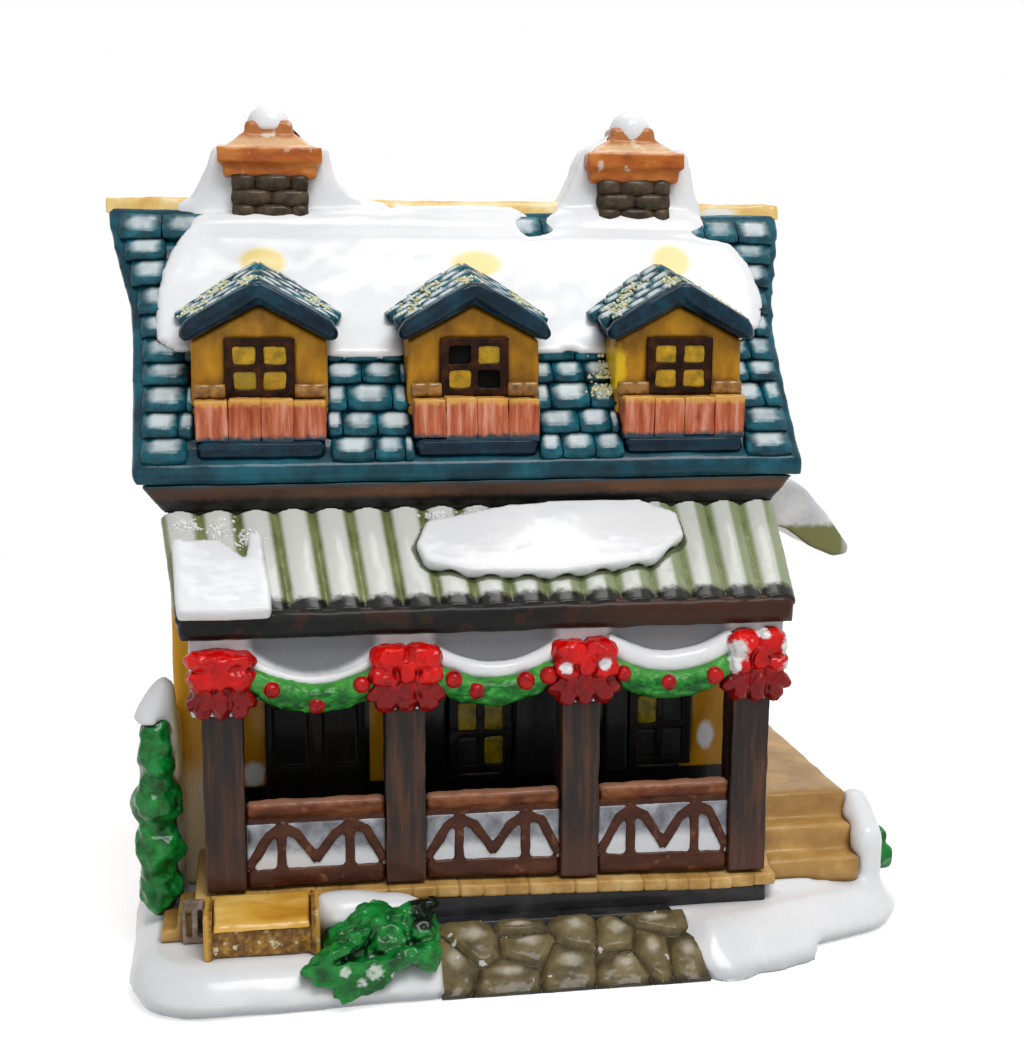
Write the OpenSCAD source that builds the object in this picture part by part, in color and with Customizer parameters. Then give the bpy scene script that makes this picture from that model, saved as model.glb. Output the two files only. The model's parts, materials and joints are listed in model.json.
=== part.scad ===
// Ceramic Christmas village house on a snow base, lit from inside by a tea light.
// Millimetres, +Z up, the front faces -Y. The origin is the middle of the outer box, on the table.
// House pieces are drawn in the house's own frame, whose middle is under the ridge.

/* [Base] */
// Width of the snow base
base_w = 122; // [112:1:135]
// Depth of the snow base, front to back
base_d = 98; // [94:1:110]
// Height of the flat top of the base above the table
base_h = 6.5; // [5:0.5:9]
// How far the top of the base draws in from its widest line
base_edge = 5; // [3:0.5:6]
// Corner radius of the base in plan
base_round = 12; // [8:1:16]

/* [House] */
// Middle of the house, left of the middle of the outer box
house_x = -5.5; // [-8:0.5:0]
// Middle of the house, behind the middle of the outer box
house_y = 14; // [12:0.5:16]
// Width of the house over its walls
wall_w = 94; // [88:1:98]
// Depth of the house over its walls
wall_d = 60; // [54:1:64]
// Height of the walls from the base to the eaves
wall_h = 63.9; // [60:0.1:70]
// Thickness of the ceramic walls
wall_t = 3.5; // [2.5:0.5:4.5]

/* [Main roof] */
// Overhang of the eaves at each side of the house
eave_over = 5; // [3:0.5:7]
// Overhang of the eaves at the front and the back
eave_out = 2; // [1:0.5:3]
// Height of the eave board
eave_t = 2.3; // [1.5:0.1:3]
// Height of the slope above the eave board
roof_h = 41.3; // [36:0.1:46]
// Length of the ridge, over its flared ends
ridge_w = 114; // [110:1:118]
// Half the width of the flat top under the ridge roll
ridge_half = 2.4; // [2:0.2:3.2]
// Number of slate courses up each slope
courses = 11; // [6:1:14]
// How far a slate course stands out over the next
course_step = 0.6; // [0.2:0.1:1]
// Height of the brown cove under the eaves
cornice_h = 4.4; // [3:0.2:6]

/* [Dormers] */
// Distance between the middles of the three dormers
dormer_pitch = 32.8; // [30:0.2:34]
// Width of a dormer over its cheeks
dormer_w = 20.6; // [18:0.2:22]
// Distance of the dormer fronts from the middle of the house
dormer_y = 26.5; // [25:0.5:28]
// Thickness of a dormer's gable roof, measured upright
gable_t = 3.3; // [2:0.1:4]
// Rise of a dormer's gable roof
gable_rise = 5.8; // [4:0.2:8]
// Width of a balcony
balcony_w = 19.4; // [16:0.2:21]
// Height of a balcony front
balcony_h = 7.5; // [6:0.5:9]
// Width of a dormer window frame
window_w = 10.6; // [9:0.2:12]
// Height of a dormer window frame
window_h = 9.8; // [8:0.2:10]

/* [Chimneys] */
// Distance between the middles of the two chimneys
chimney_pitch = 61; // [50:1:66]
// Width of a chimney stack
stack_w = 12.2; // [10:0.2:14]
// Depth of a chimney stack
stack_d = 8; // [6:0.5:9]
// Height of a stack above the slate
stack_h = 3.4; // [3:0.2:6]
// Width of a chimney cap
cap_w = 16.8; // [14:0.2:18]
// Height of the upright part of a chimney cap
cap_h = 4.5; // [3:0.5:6]
// Radius of the snowball on a chimney
ball_r = 3.7; // [3:0.1:4.5]

/* [Porch] */
// Height of the dark plinth under the deck
plinth_h = 3.7; // [2:0.1:5]
// Thickness of the deck planks
deck_t = 2.8; // [2:0.1:3.5]
// Depth of the deck in front of the wall
deck_d = 19.6; // [17:0.2:20]
// Width of the deck
deck_w = 87.6; // [84:0.2:90]
// Distance between the middles of the porch posts
post_pitch = 26.1; // [24:0.1:27]
// Width of a porch post
post_w = 5.8; // [4:0.2:7]
// Rise of the porch roof from its edge to the wall
porch_rise = 11.6; // [9:0.1:14]
// Height of the snowy frieze over the posts
frieze_h = 11.3; // [10:0.1:13]
// Height of the dark fascia over the frieze
fascia_h = 1.4; // [1:0.1:3]
// Thickness of the porch roof, measured upright
porch_t = 2.2; // [1.5:0.1:3]
// Number of rounded ribs on the porch roof
ribs = 17; // [9:1:21]
// Radius of a rib
rib_r = 1.5; // [0.8:0.1:2]
// Height of the railings from the deck
rail_h = 12.8; // [10:0.2:15]

/* [Trimmings] */
// Width of a bow
bow_w = 8.2; // [6:0.2:9]
// Height of a bow
bow_h = 11.4; // [9:0.2:12]
// Radius of a garland
garland_r = 1.9; // [1.2:0.1:2.2]
// Drop of a garland's middle below its ends
garland_sag = 3.8; // [2:0.2:5]
// Radius of a berry
berry_r = 1; // [0.6:0.1:1.3]

/* [Steps and bench] */
// Width of the right-hand steps
steps_w = 12.5; // [10:0.5:13]
// Height of the landing above the base
landing_h = 12.7; // [9:0.1:16]
// Run of one right-hand step
step_run = 3.6; // [2.5:0.1:4]
// Width of the bench between its side boards
bench_w = 13.8; // [11:0.2:15]
// Depth of the bench
bench_d = 6.8; // [5:0.2:7]
// Height of the bench seat above the base
bench_h = 6.7; // [5:0.1:8]
// Width of the stone ramp
ramp_w = 40; // [30:1:42]

/* [Light] */
// Diameter of the tea light
light_d = 37.8; // [30:0.1:40]
// Gap all round between the tea light and its hole
light_gap = 0.3; // [0.2:0.05:0.6]
// Height of the tea light's cup
light_h = 14; // [12:0.5:18]
// Diameter of the coin cell
cell_d = 20; // [16:0.1:24]
// Thickness of the coin cell
cell_t = 3.2; // [1.6:0.1:5.4]
// Travel of the switch knob
switch_travel = 2.5; // [1:0.1:3]

/* [Hidden] */
$fn = 48;

// Facets of the soft lumps, overruns and clearances
soft_fn = 20;
run = 1;
far = 200;
film = 0.02;
seat_gap = 0.15;

// Heights of the main levels
eave_z = base_h + wall_h;
slope_z = eave_z + eave_t;
top_z = slope_z + roof_h;
plinth_z = base_h + plinth_h;
deck_z = plinth_z + deck_t;
porch_top_z = eave_z - cornice_h;
porch_edge_z = porch_top_z - porch_rise;
frieze_z = porch_edge_z - porch_t - fascia_h;
post_z = frieze_z - frieze_h;
steps_top_z = base_h + landing_h;

// Planes of the house, from its middle, and how far each one stands off the last
post_lap = 1;
post_d = 5.4;
frieze_lap = 0.6;
frieze_t = 5.2;
frieze_over = 1.5;
frieze_w = 3 * post_pitch + post_w + 2 * frieze_over;
roof_lap = 0.7;
fascia_lap = 0.5;
front_y = -wall_d / 2;
eave_y = front_y - eave_out;
eave_w = wall_w + 2 * eave_over;
deck_y = front_y - deck_d;
post_y = deck_y + post_lap;
frieze_y = post_y - frieze_lap;
edge_y = deck_y - roof_lap;
fascia_y = edge_y + fascia_lap;

// Base placement, so that the ridge and the base end the same distance from the origin
base_x = ridge_w / 2 - house_x - base_w / 2;
outline_shares = [[-1, -1, 1], [0.34, -0.94, 0.7], [0.98, -0.68, 1], [1, -0.27, 1], [1, 1, 1.17],
    [-1, 1, 1.17]];
slice_shares = [[0, 0.24], [0.37, 0], [0.82, 0.46], [1, 1]];

// Places of the repeated pieces
function dormer_x(i) = (i - 1) * dormer_pitch;
function post_x(i) = (i - 1.5) * post_pitch;
function chimney_x(i) = (i - 0.5) * chimney_pitch;

// Helpers: a block between two corners, a side view drawn along X, a front view drawn along Y
module block(lo, hi) translate(lo) cube(hi - lo);
module at_house() translate([house_x, house_y, 0]) children();
module along_x(length) rotate([90, 0, 90]) linear_extrude(length, center = true) children();
module facing(y, depth) translate([0, y + depth, 0]) rotate([90, 0, 0]) linear_extrude(depth) children();
module lump(p, r) translate(p) sphere(r = r, $fn = soft_fn);
module bar(p, q, w) translate(p) rotate(atan2(q[1] - p[1], q[0] - p[0]))
    translate([0, -w / 2]) square([norm(q - p), w]);

// Base: a soft slab of snow with the hole for the tea light
light_r = light_d / 2;
hole_r = light_r + light_gap;
rim_w = 1.6;
rim_h = 1.4;
rim_z = 0.8;

module outline(inset) hull() for (c = outline_shares) {
    r = c[2] * base_round;
    translate([c[0] * (base_w / 2 - r), c[1] * (base_d / 2 - r)]) circle(r = r - inset, $fn = 32);
}

module mound() translate([base_x, 0, 0]) hull() for (s = slice_shares)
    translate([0, 0, s[0] * (base_h - film)]) linear_extrude(film) outline(s[1] * base_edge);

module base_ground() color("white") difference() {
    mound();
    at_house() translate([0, 0, -run]) cylinder(h = base_h + 2 * run, r = hole_r, $fn = 96);
    at_house() translate([0, 0, -run]) cylinder(h = run + rim_z + rim_h + seat_gap,
        r = hole_r + rim_w + light_gap, $fn = 96);
    at_house() ramp_seat();
}

// Bench between two side boards
bench_in = 1.5;
side_t = 1.2;
seat_t = 2.6;
seat_crown = 0.8;
bench_x = -deck_w / 2 + bench_in + side_t + bench_w / 2;
bench_end = bench_x + bench_w / 2 + side_t;
bench_back = deck_y - seat_gap;
bench_front = bench_back - bench_d;
seat_z = base_h + bench_h;

module bench_seat() color("goldenrod") at_house() translate([bench_x, 0, 0]) along_x(bench_w)
    polygon([[bench_back, seat_z - seat_t], [bench_back, seat_z],
        [bench_back - bench_d / 2, seat_z - 0.3 * seat_crown], [bench_front, seat_z - 2 * seat_crown],
        [bench_front - seat_crown, seat_z - seat_t]]);

module bench_frame() color("saddlebrown") at_house() translate([bench_x, 0, 0]) {
    block([-(bench_w + side_t) / 2, bench_front, base_h],
        [(bench_w + side_t) / 2, bench_back, seat_z - seat_t]);
    for (s = [-1, 1]) translate([s * (bench_w + side_t) / 2, 0, 0])
        block([-side_t / 2, bench_front - seat_crown, base_h], [side_t / 2, bench_back, seat_z]);
}

// Pine in front of the deck, as lumps that seat on the base
shrub_r = 5;
shrub_x = bench_end + 1.62 * shrub_r;
shrub_shares = [[-0.84, 1.1, -0.1, 0.84], [0.28, 1.18, 0, 0.96], [1, 0.96, 0.22, 0.84],
    [-0.12, 0.92, 0.38, 0.84]];

module shrub(grow = 0) for (s = shrub_shares)
    lump([shrub_x + s[0] * shrub_r, deck_y - s[1] * shrub_r, base_h + s[2] * shrub_r], s[3] * shrub_r + grow);

module front_shrub() color("green") difference() {
    at_house() shrub();
    mound();
    at_house() ramp_seat();
}

// Stone ramp up to the deck
ramp_set = 0.9;
ramp_gap = 1;
ramp_drop = 0.3;
ramp_flat = 2.4;
ramp_inset = 3;
ramp_foot_z = 1.5;
ramp_t = 2.5;
ramp_lip = 0.6;
cobble_r = 2.5;
cobble_h = 0.5;
cobble_rows = 3;
cobble_cols = 7;
ramp_x = bench_end + 3.24 * shrub_r + ramp_set + ramp_w / 2;
ramp_back = deck_y - ramp_gap;
ramp_top_z = plinth_z - ramp_drop;
ramp_foot_y = -base_d / 2 - house_y + ramp_inset;

module ramp_seat() translate([ramp_x, 0, 0]) along_x(ramp_w) polygon([[ramp_back, base_h - run],
    [ramp_back, far], [-far, far], [-far, ramp_lip], [ramp_foot_y + ramp_t, ramp_lip]]);

module stone_ramp() color("darkolivegreen") at_house() translate([ramp_x, 0, 0]) {
    length = ramp_back - ramp_flat - ramp_foot_y;
    rise = ramp_top_z - ramp_foot_z;
    along_x(ramp_w) polygon([[ramp_back, base_h - run], [ramp_back, ramp_top_z],
        [ramp_back - ramp_flat, ramp_top_z], [ramp_foot_y, ramp_foot_z], [ramp_foot_y, ramp_lip],
        [ramp_foot_y + ramp_t, ramp_lip]]);
    for (r = [0 : cobble_rows - 1], c = [0 : cobble_cols - 1]) {
        s = (r + 0.5) / cobble_rows;
        shift = 0.25 * (r % 2 == 0 ? 1 : -1);
        x = ((c + 0.5 + shift) / cobble_cols - 0.5) * (ramp_w - cobble_r);
        translate([x, ramp_foot_y + s * length, ramp_foot_z + s * rise])
            rotate([atan2(rise, length), 0, 0]) translate([0, 0, -cobble_h])
            cylinder(h = 2 * cobble_h, r1 = cobble_r, r2 = 0.7 * cobble_r, $fn = 16);
    }
}

// Snow heaped against the deck, on the ground by the steps and along their outer side
drift_r = 3.2;
drift_z = 10;
drift_x = bench_end + 1.47 * drift_r;
bank_r = 2.6;
ground_rise = 2;
ground_in = 3.5;
stair_gap = 0.15;
steps_x = wall_w / 2 + stair_gap;
step_rises = 3;
steps_fore = 2.9;
steps_y = front_y - step_rises * step_run - steps_fore;
bank_x = steps_x + steps_w + 0.7 * bank_r;
bank_z = steps_top_z - bank_r;

module ground_snow() intersection() {
    translate([base_x, 0, 0]) hull() {
        translate([0, 0, base_h - run]) linear_extrude(film) outline(base_edge + run);
        translate([0, 0, base_h + ground_rise]) linear_extrude(film) outline(base_edge + ground_in);
    }
    at_house() block([ramp_x + ramp_w / 2, -far, 0], [far, steps_y + bank_r, far]);
}

module bank() hull() {
    lump([bank_x, front_y - 2 * bank_r, bank_z], bank_r);
    lump([bank_x, steps_y + bank_r, bank_z - 1.5 * bank_r], bank_r);
    lump([bank_x, steps_y + bank_r, base_h], bank_r);
    lump([bank_x, front_y - 2 * bank_r, base_h], bank_r);
}

module snow_drifts() color("white") difference() {
    union() {
        at_house() hull() for (s = [-1, 1])
            lump([drift_x + 0.6 * s * drift_r, deck_y - 0.7 * drift_r, drift_z], drift_r);
        ground_snow();
        at_house() bank();
    }
    mound();
    at_house() shrub(seat_gap);
    at_house() block([-far, -far, 0], [bench_end, front_y, far]);
    right_steps();
    at_house() block([-deck_w / 2, deck_y, 0], [deck_w / 2 + stair_gap, front_y, far]);
}

// Deck with plank grooves on a dark plinth
plinth_in = 1.3;
planks = 25;
groove = 0.4;

module porch_deck() color("tan") at_house() {
    difference() {
        block([-deck_w / 2, deck_y, plinth_z], [deck_w / 2, front_y, deck_z]);
        for (i = [1 : planks - 1]) translate([(i / planks - 0.5) * deck_w, 0, 0])
            block([-groove / 2, deck_y - run, plinth_z - run], [groove / 2, deck_y + groove, deck_z + run]);
    }
    block([-deck_w / 2 + plinth_in, deck_y + plinth_in, base_h], [deck_w / 2 - plinth_in, front_y, plinth_z]);
}

// Two narrow steps and a small lattice at the left end of the deck
tread_w = 2.4;
tread_shares = [0.62, 0.28];
tread_lap = 0.4;
left_run = 8;
lattice_w = 3.2;
lattice_t = 1;
lattice_bar = 0.6;

module left_steps() color("burlywood") at_house() for (i = [0, 1])
    block([-deck_w / 2 - (i + 1) * tread_w, deck_y - tread_lap, base_h],
        [-deck_w / 2 - i * tread_w, deck_y + left_run, base_h + tread_shares[i] * (deck_z - base_h)]);

module lattice_panel() color("gray") at_house()
    translate([bench_x - bench_w / 2 - side_t - lattice_w, 0, base_h])
    facing(deck_y - tread_lap - lattice_t, lattice_t) difference() {
        square([lattice_w, deck_z - base_h]);
        for (k = [0, 1]) translate([lattice_bar + k * lattice_w / 2, 1.5 * lattice_bar])
            square([lattice_w / 2 - 1.5 * lattice_bar, 0.65 * (deck_z - base_h)]);
    }

// Steps at the right with a landing at the side door
landing_back = 3;

module right_steps() color("burlywood") at_house() {
    for (i = [0 : step_rises - 1])
        block([deck_w / 2 + stair_gap, steps_y + i * step_run, base_h],
            [steps_x + steps_w, front_y - stair_gap, base_h + (i + 1) * landing_h / step_rises]);
    block([steps_x, front_y - stair_gap, base_h], [steps_x + steps_w, landing_back, steps_top_z]);
}

// Green shrub outside the snow bank
bush_r = 2.5;
bush_x = base_x + base_w / 2 - house_x - bush_r - 0.3;

module right_bush() color("green") difference() {
    at_house() {
        lump([bush_x, steps_y + 3 * bush_r, base_h + 0.6 * bush_r], bush_r);
        lump([bush_x, steps_y + 4.2 * bush_r, base_h + 1.3 * bush_r], bush_r);
    }
    mound();
    at_house() bank();
}

// Narrow evergreen at the left corner: a stack of lobes, with snow behind and on top
hedge_out = 5.3;
hedge_set = 10.6;
lobe_pitch = 7;
lobe_shares = [[0.65, 0.47], [1.6, 0.53], [2.55, 0.52], [3.4, 0.43], [4.1, 0.35]];
snow_r = 1.9;
hedge_x = -max(deck_w, frieze_w) / 2 - hedge_out;
hedge_y = front_y - hedge_set;
hedge_top_z = base_h + 5 * lobe_pitch;

module hedge() for (s = lobe_shares) lump([hedge_x, hedge_y, base_h + s[0] * lobe_pitch], s[1] * lobe_pitch);

module left_hedge() color("green") difference() {
    at_house() hedge();
    mound();
}

module hedge_snow() color("white") difference() {
    at_house() {
        hull() for (z = [base_h, hedge_top_z - lobe_pitch], y = [front_y, hedge_y + 1.3 * snow_r])
            lump([hedge_x + 0.8 * snow_r, y, z], snow_r);
        hull() {
            lump([hedge_x - 0.3 * snow_r, hedge_y, hedge_top_z - 2 * snow_r], 1.35 * snow_r);
            lump([hedge_x + 0.7 * snow_r, hedge_y + 0.5 * snow_r, hedge_top_z], snow_r);
            lump([hedge_x + 0.8 * snow_r, hedge_y + snow_r, hedge_top_z - lobe_pitch], snow_r);
        }
    }
    mound();
    at_house() hedge();
    at_house() block([-wall_w / 2, front_y, 0], [wall_w / 2, -front_y, far]);
    left_steps();
    porch_deck();
}

// Walls with gables that fill the ends of the attic
attic_drop = 5;
attic_half = 1.5;
attic_y = wall_d / 2 - wall_t;
attic_z = top_z - attic_drop;
frame_w = 1.1;
frame_t = 1;
pane_t = 1.2;
shop_x = [0.5, 29.8];
shop_w = 10.2;
shop_h = 13;
shop_sill = 10.2;
shop_z = deck_z + shop_sill;
opening_in = 0.5 * frame_w;
opening_w = shop_w - 2 * opening_in;
opening_h = shop_h - 2 * opening_in;

module attic_shape(drop = 0) polygon([[-attic_y, eave_z - drop], [attic_y, eave_z - drop], [attic_y, eave_z],
    [attic_half, attic_z], [-attic_half, attic_z], [-attic_y, eave_z]]);

module house_walls() color("darkgoldenrod") at_house() {
    difference() {
        block([-wall_w / 2, front_y, base_h], [wall_w / 2, -front_y, eave_z]);
        block([-wall_w / 2 + wall_t, front_y + wall_t, 0], [wall_w / 2 - wall_t, -front_y - wall_t, far]);
        for (x = shop_x) block([x - opening_w / 2, front_y - run, shop_z + opening_in],
            [x + opening_w / 2, front_y + wall_t + run, shop_z + opening_in + opening_h]);
    }
    for (s = [-1, 1]) translate([s * (wall_w - wall_t) / 2, 0, 0]) along_x(wall_t) attic_shape(run);
}

// Shop door in the left bay and a door at the side landing
door_x = -25.5;
door_w = 15.4;
door_h = 23.3;
door_t = 1.2;
side_door_y = -9;
side_door_w = 10;

module doors() color("saddlebrown") at_house() {
    block([door_x - door_w / 2, front_y - door_t, deck_z], [door_x + door_w / 2, front_y, deck_z + door_h]);
    block([wall_w / 2, side_door_y - side_door_w / 2, steps_top_z],
        [wall_w / 2 + door_t, side_door_y + side_door_w / 2, steps_top_z + door_h]);
}

// Window: an outer frame with a cross, on a pane plate that fills the opening
pierced_shares = [0.32, 0.36];

module cross_frame(w, h) difference() {
    translate([-w / 2, 0]) square([w, h]);
    for (sx = [-1, 1], sz = [0, 1])
        translate([sx * (w - frame_w) / 4 - (w - 3 * frame_w) / 4, frame_w + sz * (h - frame_w) / 2])
            square([(w - 3 * frame_w) / 2, (h - 3 * frame_w) / 2]);
}

module porch_windows() color("olive") at_house() for (x = shop_x) translate([x, 0, shop_z]) {
    facing(front_y - frame_t, frame_t) cross_frame(shop_w, shop_h);
    facing(front_y, pane_t) difference() {
        translate([-opening_w / 2, opening_in]) square([opening_w, opening_h]);
        translate([-shop_w / 2 + 1.5 * frame_w, 1.5 * frame_w])
            square([pierced_shares[0] * opening_w, pierced_shares[1] * opening_h]);
    }
}

// Porch posts and railings with a zigzag on a plain panel
rail_t = 2.2;
rail_w = 2.5;
foot_t = 1.6;
panel_t = 1.6;
strip_w = 1.1;
rail_in = 0.6;
rail_y = post_y + rail_in;

module post(i) color("saddlebrown") at_house()
    block([post_x(i) - post_w / 2, post_y, deck_z], [post_x(i) + post_w / 2, post_y + post_d, post_z]);

module zigzag(w, h) intersection() {
    square([w, h]);
    for (k = [0 : 3]) {
        bar([k * w / 4, (k % 2) * h], [(k + 1) * w / 4, ((k + 1) % 2) * h], strip_w);
        if (k % 2 == 1) translate([k * w / 4 - strip_w / 2, 0]) square([strip_w, h]);
    }
}

module railing(i) color("sienna") at_house() {
    x0 = post_x(i) + post_w / 2;
    x1 = post_x(i + 1) - post_w / 2;
    panel_y = rail_y + strip_w / 2;
    block([x0, rail_y, deck_z + rail_h - rail_t], [x1, rail_y + rail_w, deck_z + rail_h]);
    block([x0, rail_y, deck_z], [x1, rail_y + rail_w, deck_z + foot_t]);
    block([x0, panel_y, deck_z + foot_t], [x1, panel_y + panel_t, deck_z + rail_h - rail_t]);
    translate([x0, 0, deck_z + foot_t]) facing(rail_y, strip_w / 2) zigzag(x1 - x0, rail_h - rail_t - foot_t);
}

// Frieze with round-cornered bays between the posts
arch_h = 2.5;
arch_r = 2.2;

module bay(i) translate([post_x(i) + post_w / 2, post_z]) {
    w = post_pitch - post_w;
    translate([0, -run]) square([w, run + arch_h - arch_r]);
    translate([arch_r, -run]) square([w - 2 * arch_r, run + arch_h]);
    for (x = [arch_r, w - arch_r]) translate([x, arch_h - arch_r]) circle(r = arch_r);
}

module frieze() color("whitesmoke") at_house() facing(frieze_y, frieze_t) difference() {
    translate([-frieze_w / 2, post_z]) square([frieze_w, frieze_h]);
    for (i = [0 : 2]) bay(i);
}

// Porch roof with rounded ribs, its fascia and the snow on it
fascia_over = 1.3;
fascia_d = 4;
porch_spread = 1;
porch_draw = 2;
fascia_w = frieze_w + 2 * fascia_over;
porch_foot = wall_w / 2 - porch_draw;
porch_head = wall_w / 2 + porch_spread;
porch_tilt = atan2(porch_top_z - porch_edge_z, front_y - edge_y);
porch_long = norm([front_y - edge_y, porch_top_z - porch_edge_z]);
function under_z(y) = porch_top_z - (front_y - y) * tan(porch_tilt) - porch_t;

module fascia_shape(y0, y1) polygon([[y0, frieze_z], [y0, under_z(y0)], [y1, under_z(y1)], [y1, frieze_z]]);

module porch_fascia() color("darkslategray") at_house() {
    along_x(fascia_w) fascia_shape(fascia_y, fascia_y + fascia_d);
    for (s = [-1, 1]) translate([s * (fascia_w - wall_t) / 2, 0, 0])
        along_x(wall_t) fascia_shape(fascia_y + fascia_d, front_y);
}

module porch_plan() polygon([[-porch_foot, porch_edge_z - porch_t], [porch_foot, porch_edge_z - porch_t],
    [porch_head, porch_top_z], [porch_head, far], [-porch_head, far], [-porch_head, porch_top_z]]);

module on_porch() translate([0, front_y, porch_top_z]) rotate([porch_tilt, 0, 0]) children();

module porch_roof() color("darkkhaki") at_house() intersection() {
    union() {
        along_x(2 * porch_head) polygon([[front_y, porch_top_z], [edge_y, porch_edge_z],
            [edge_y, porch_edge_z - porch_t], [front_y, porch_top_z - porch_t]]);
        intersection() {
            on_porch() for (i = [0 : ribs - 1])
                translate([((i + 0.5) / ribs - 0.5) * wall_w, run, -0.4 * rib_r])
                    rotate([90, 0, 0]) cylinder(h = porch_long + 2 * run, r = rib_r, $fn = 24);
            along_x(far) polygon([[front_y, porch_top_z - porch_t], [front_y, porch_top_z],
                [edge_y - 0.2 * rib_r, porch_top_z], [edge_y - 0.2 * rib_r, porch_edge_z - 0.6 * porch_t],
                [edge_y, porch_edge_z - porch_t]]);
        }
    }
    facing(edge_y - run, deck_d + roof_lap + run) porch_plan();
}

patch_t = 1.9;
patch_mid_shares = [[-0.22, 0.46], [-0.18, 0.24], [0.07, 0.1], [0.28, 0.05], [0.54, 0.06], [0.65, 0.2],
    [0.65, 0.42], [0.53, 0.65], [0.22, 0.75], [-0.07, 0.72], [-0.2, 0.62]];
patch_left_shares = [[-0.93, 0.38], [-0.84, 0.36], [-0.69, 0.72], [-0.68, 0.96], [-0.92, 0.96]];

module patch(shares) linear_extrude(patch_t) offset(r = 0.4 * patch_t) offset(delta = -0.4 * patch_t)
    polygon([for (p = shares) [p[0] * wall_w / 2, -p[1] * porch_long]]);

module porch_snow() color("white") difference() {
    at_house() on_porch() {
        patch(patch_mid_shares);
        patch(patch_left_shares);
    }
    porch_roof();
}

// Main roof: a shell with stepped slate courses on a hollow slope, and flared ends
slope_eave = [eave_y + course_step, slope_z];
slope_bend = [-0.47 * wall_d / 2, slope_z + 0.49 * roof_h];
slope_top = [-ridge_half, top_z];
flare_shares = [[0, 0], [0.2, 0], [0.45, 0.05], [0.6, 0.17], [0.75, 0.5], [0.9, 0.82], [1.06, 1]];
function slope(t) = (1 - t) * (1 - t) * slope_eave + 2 * t * (1 - t) * slope_bend + t * t * slope_top;
function lean(t) = 2 * (1 - t) * (slope_bend - slope_eave) + 2 * t * (slope_top - slope_bend);
function raised(t, lift) = slope(t) + lift * [-lean(t)[1], lean(t)[0]] / norm(lean(t));
function front_slope(step, lift) = [for (i = [0 : courses - 1])
    each [raised(i / courses, lift + step), raised((i + 1) / courses, lift)]];
function mirrored(pts) = [for (i = [len(pts) - 1 : -1 : 0]) [-pts[i][0], pts[i][1]]];
flare_ends = [for (f = flare_shares) [(eave_w + f[1] * (ridge_w - eave_w)) / 2, slope_z + f[0] * roof_h]];

module roof_side_view(step, lift) polygon(concat([[eave_y, eave_z], [eave_y - lift, slope_z]],
    front_slope(step, lift), mirrored(front_slope(step, lift)),
    [[-eave_y + lift, slope_z], [-eave_y, eave_z]]));

module roof_solid() intersection() {
    along_x(ridge_w) roof_side_view(course_step, 0);
    facing(-far / 2, far) polygon(concat([[eave_w / 2, eave_z]], flare_ends, mirrored(flare_ends),
        [[-eave_w / 2, eave_z]]));
}

module main_roof() color("teal") at_house() difference() {
    roof_solid();
    along_x(far) attic_shape();
    for (i = [0 : 2]) window_opening(i);
}

// Ridge roll, cut where the chimneys stand
roll_h = 1.6;

module ridge_shape() polygon([[-ridge_half, top_z], [ridge_half, top_z],
    [0.7 * ridge_half, top_z + roll_h], [-0.7 * ridge_half, top_z + roll_h]]);

module ridge_roll() color("khaki") at_house() difference() {
    along_x(ridge_w) ridge_shape();
    for (i = [0, 1]) stack(i);
}

// Brown cove under the eaves, all round the walls
cove_in = 1;
cove_foot = 0.5;

module cove() hull() {
    translate([0, 0, eave_z - film]) linear_extrude(film)
        square([eave_w - 2 * cove_in, wall_d + 2 * (eave_out - cove_foot)], center = true);
    translate([0, 0, porch_top_z]) linear_extrude(film)
        square([wall_w + 2 * cove_foot, wall_d + 2 * cove_foot], center = true);
}

module cornice() color("saddlebrown") at_house() difference() {
    cove();
    block([-wall_w / 2, front_y, 0], [wall_w / 2, -front_y, far]);
}

// Snow field over the upper half of the front slope
snow_lift = 1.9;
field_shares = [[-0.75, 0.97], [-0.77, 0.9], [-0.81, 0.81], [-0.835, 0.72], [-0.85, 0.6], [-0.85, 0.47],
    [-0.8, 0.43], [-0.35, 0.4], [-0.17, 0.4], [0.3, 0.42], [0.36, 0.41], [0.78, 0.46], [0.86, 0.52],
    [0.885, 0.62], [0.865, 0.76], [0.815, 0.865], [0.55, 0.905], [0.37, 0.94], [0.33, 0.91], [0.2, 0.88],
    [0.18, 0.95], [-0.1, 0.98], [-0.3, 0.99]];

module roof_snow() color("white") at_house() difference() {
    intersection() {
        along_x(ridge_w) roof_side_view(0, snow_lift);
        facing(eave_y - snow_lift, -eave_y + snow_lift - ridge_half)
            offset(r = snow_lift) offset(delta = -snow_lift)
            polygon([for (p = field_shares) [p[0] * ridge_w / 2, slope_z + p[1] * roof_h]]);
    }
    roof_solid();
    for (i = [0 : 2]) {
        dormer_body(i);
        gable(i);
        window_opening(i);
    }
    for (i = [0, 1]) stack(i);
}

// Dormers: body, gable roof, window and balcony
gable_lap = 1.5;
gable_over = 1;
balcony_out = 4.3;
balcony_lip = 1.5;
lip_in = 0.6;
ledge_d = 1.6;
ledge_h = 2.2;
sill_z = slope_z + 0.25 * roof_h;
cheek_z = slope_z + 0.477 * roof_h;
under_gable_z = cheek_z + gable_rise;
gable_y = dormer_y + gable_lap;
gable_reach = dormer_w / 2 + gable_over;
balcony_y = dormer_y + balcony_out;
balcony_z = sill_z - balcony_h;

module dormer_body(i) translate([dormer_x(i), 0, 0]) facing(-dormer_y, dormer_y)
    polygon([[-dormer_w / 2, balcony_z], [dormer_w / 2, balcony_z], [dormer_w / 2, cheek_z],
        [0, under_gable_z], [-dormer_w / 2, cheek_z]]);

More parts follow.
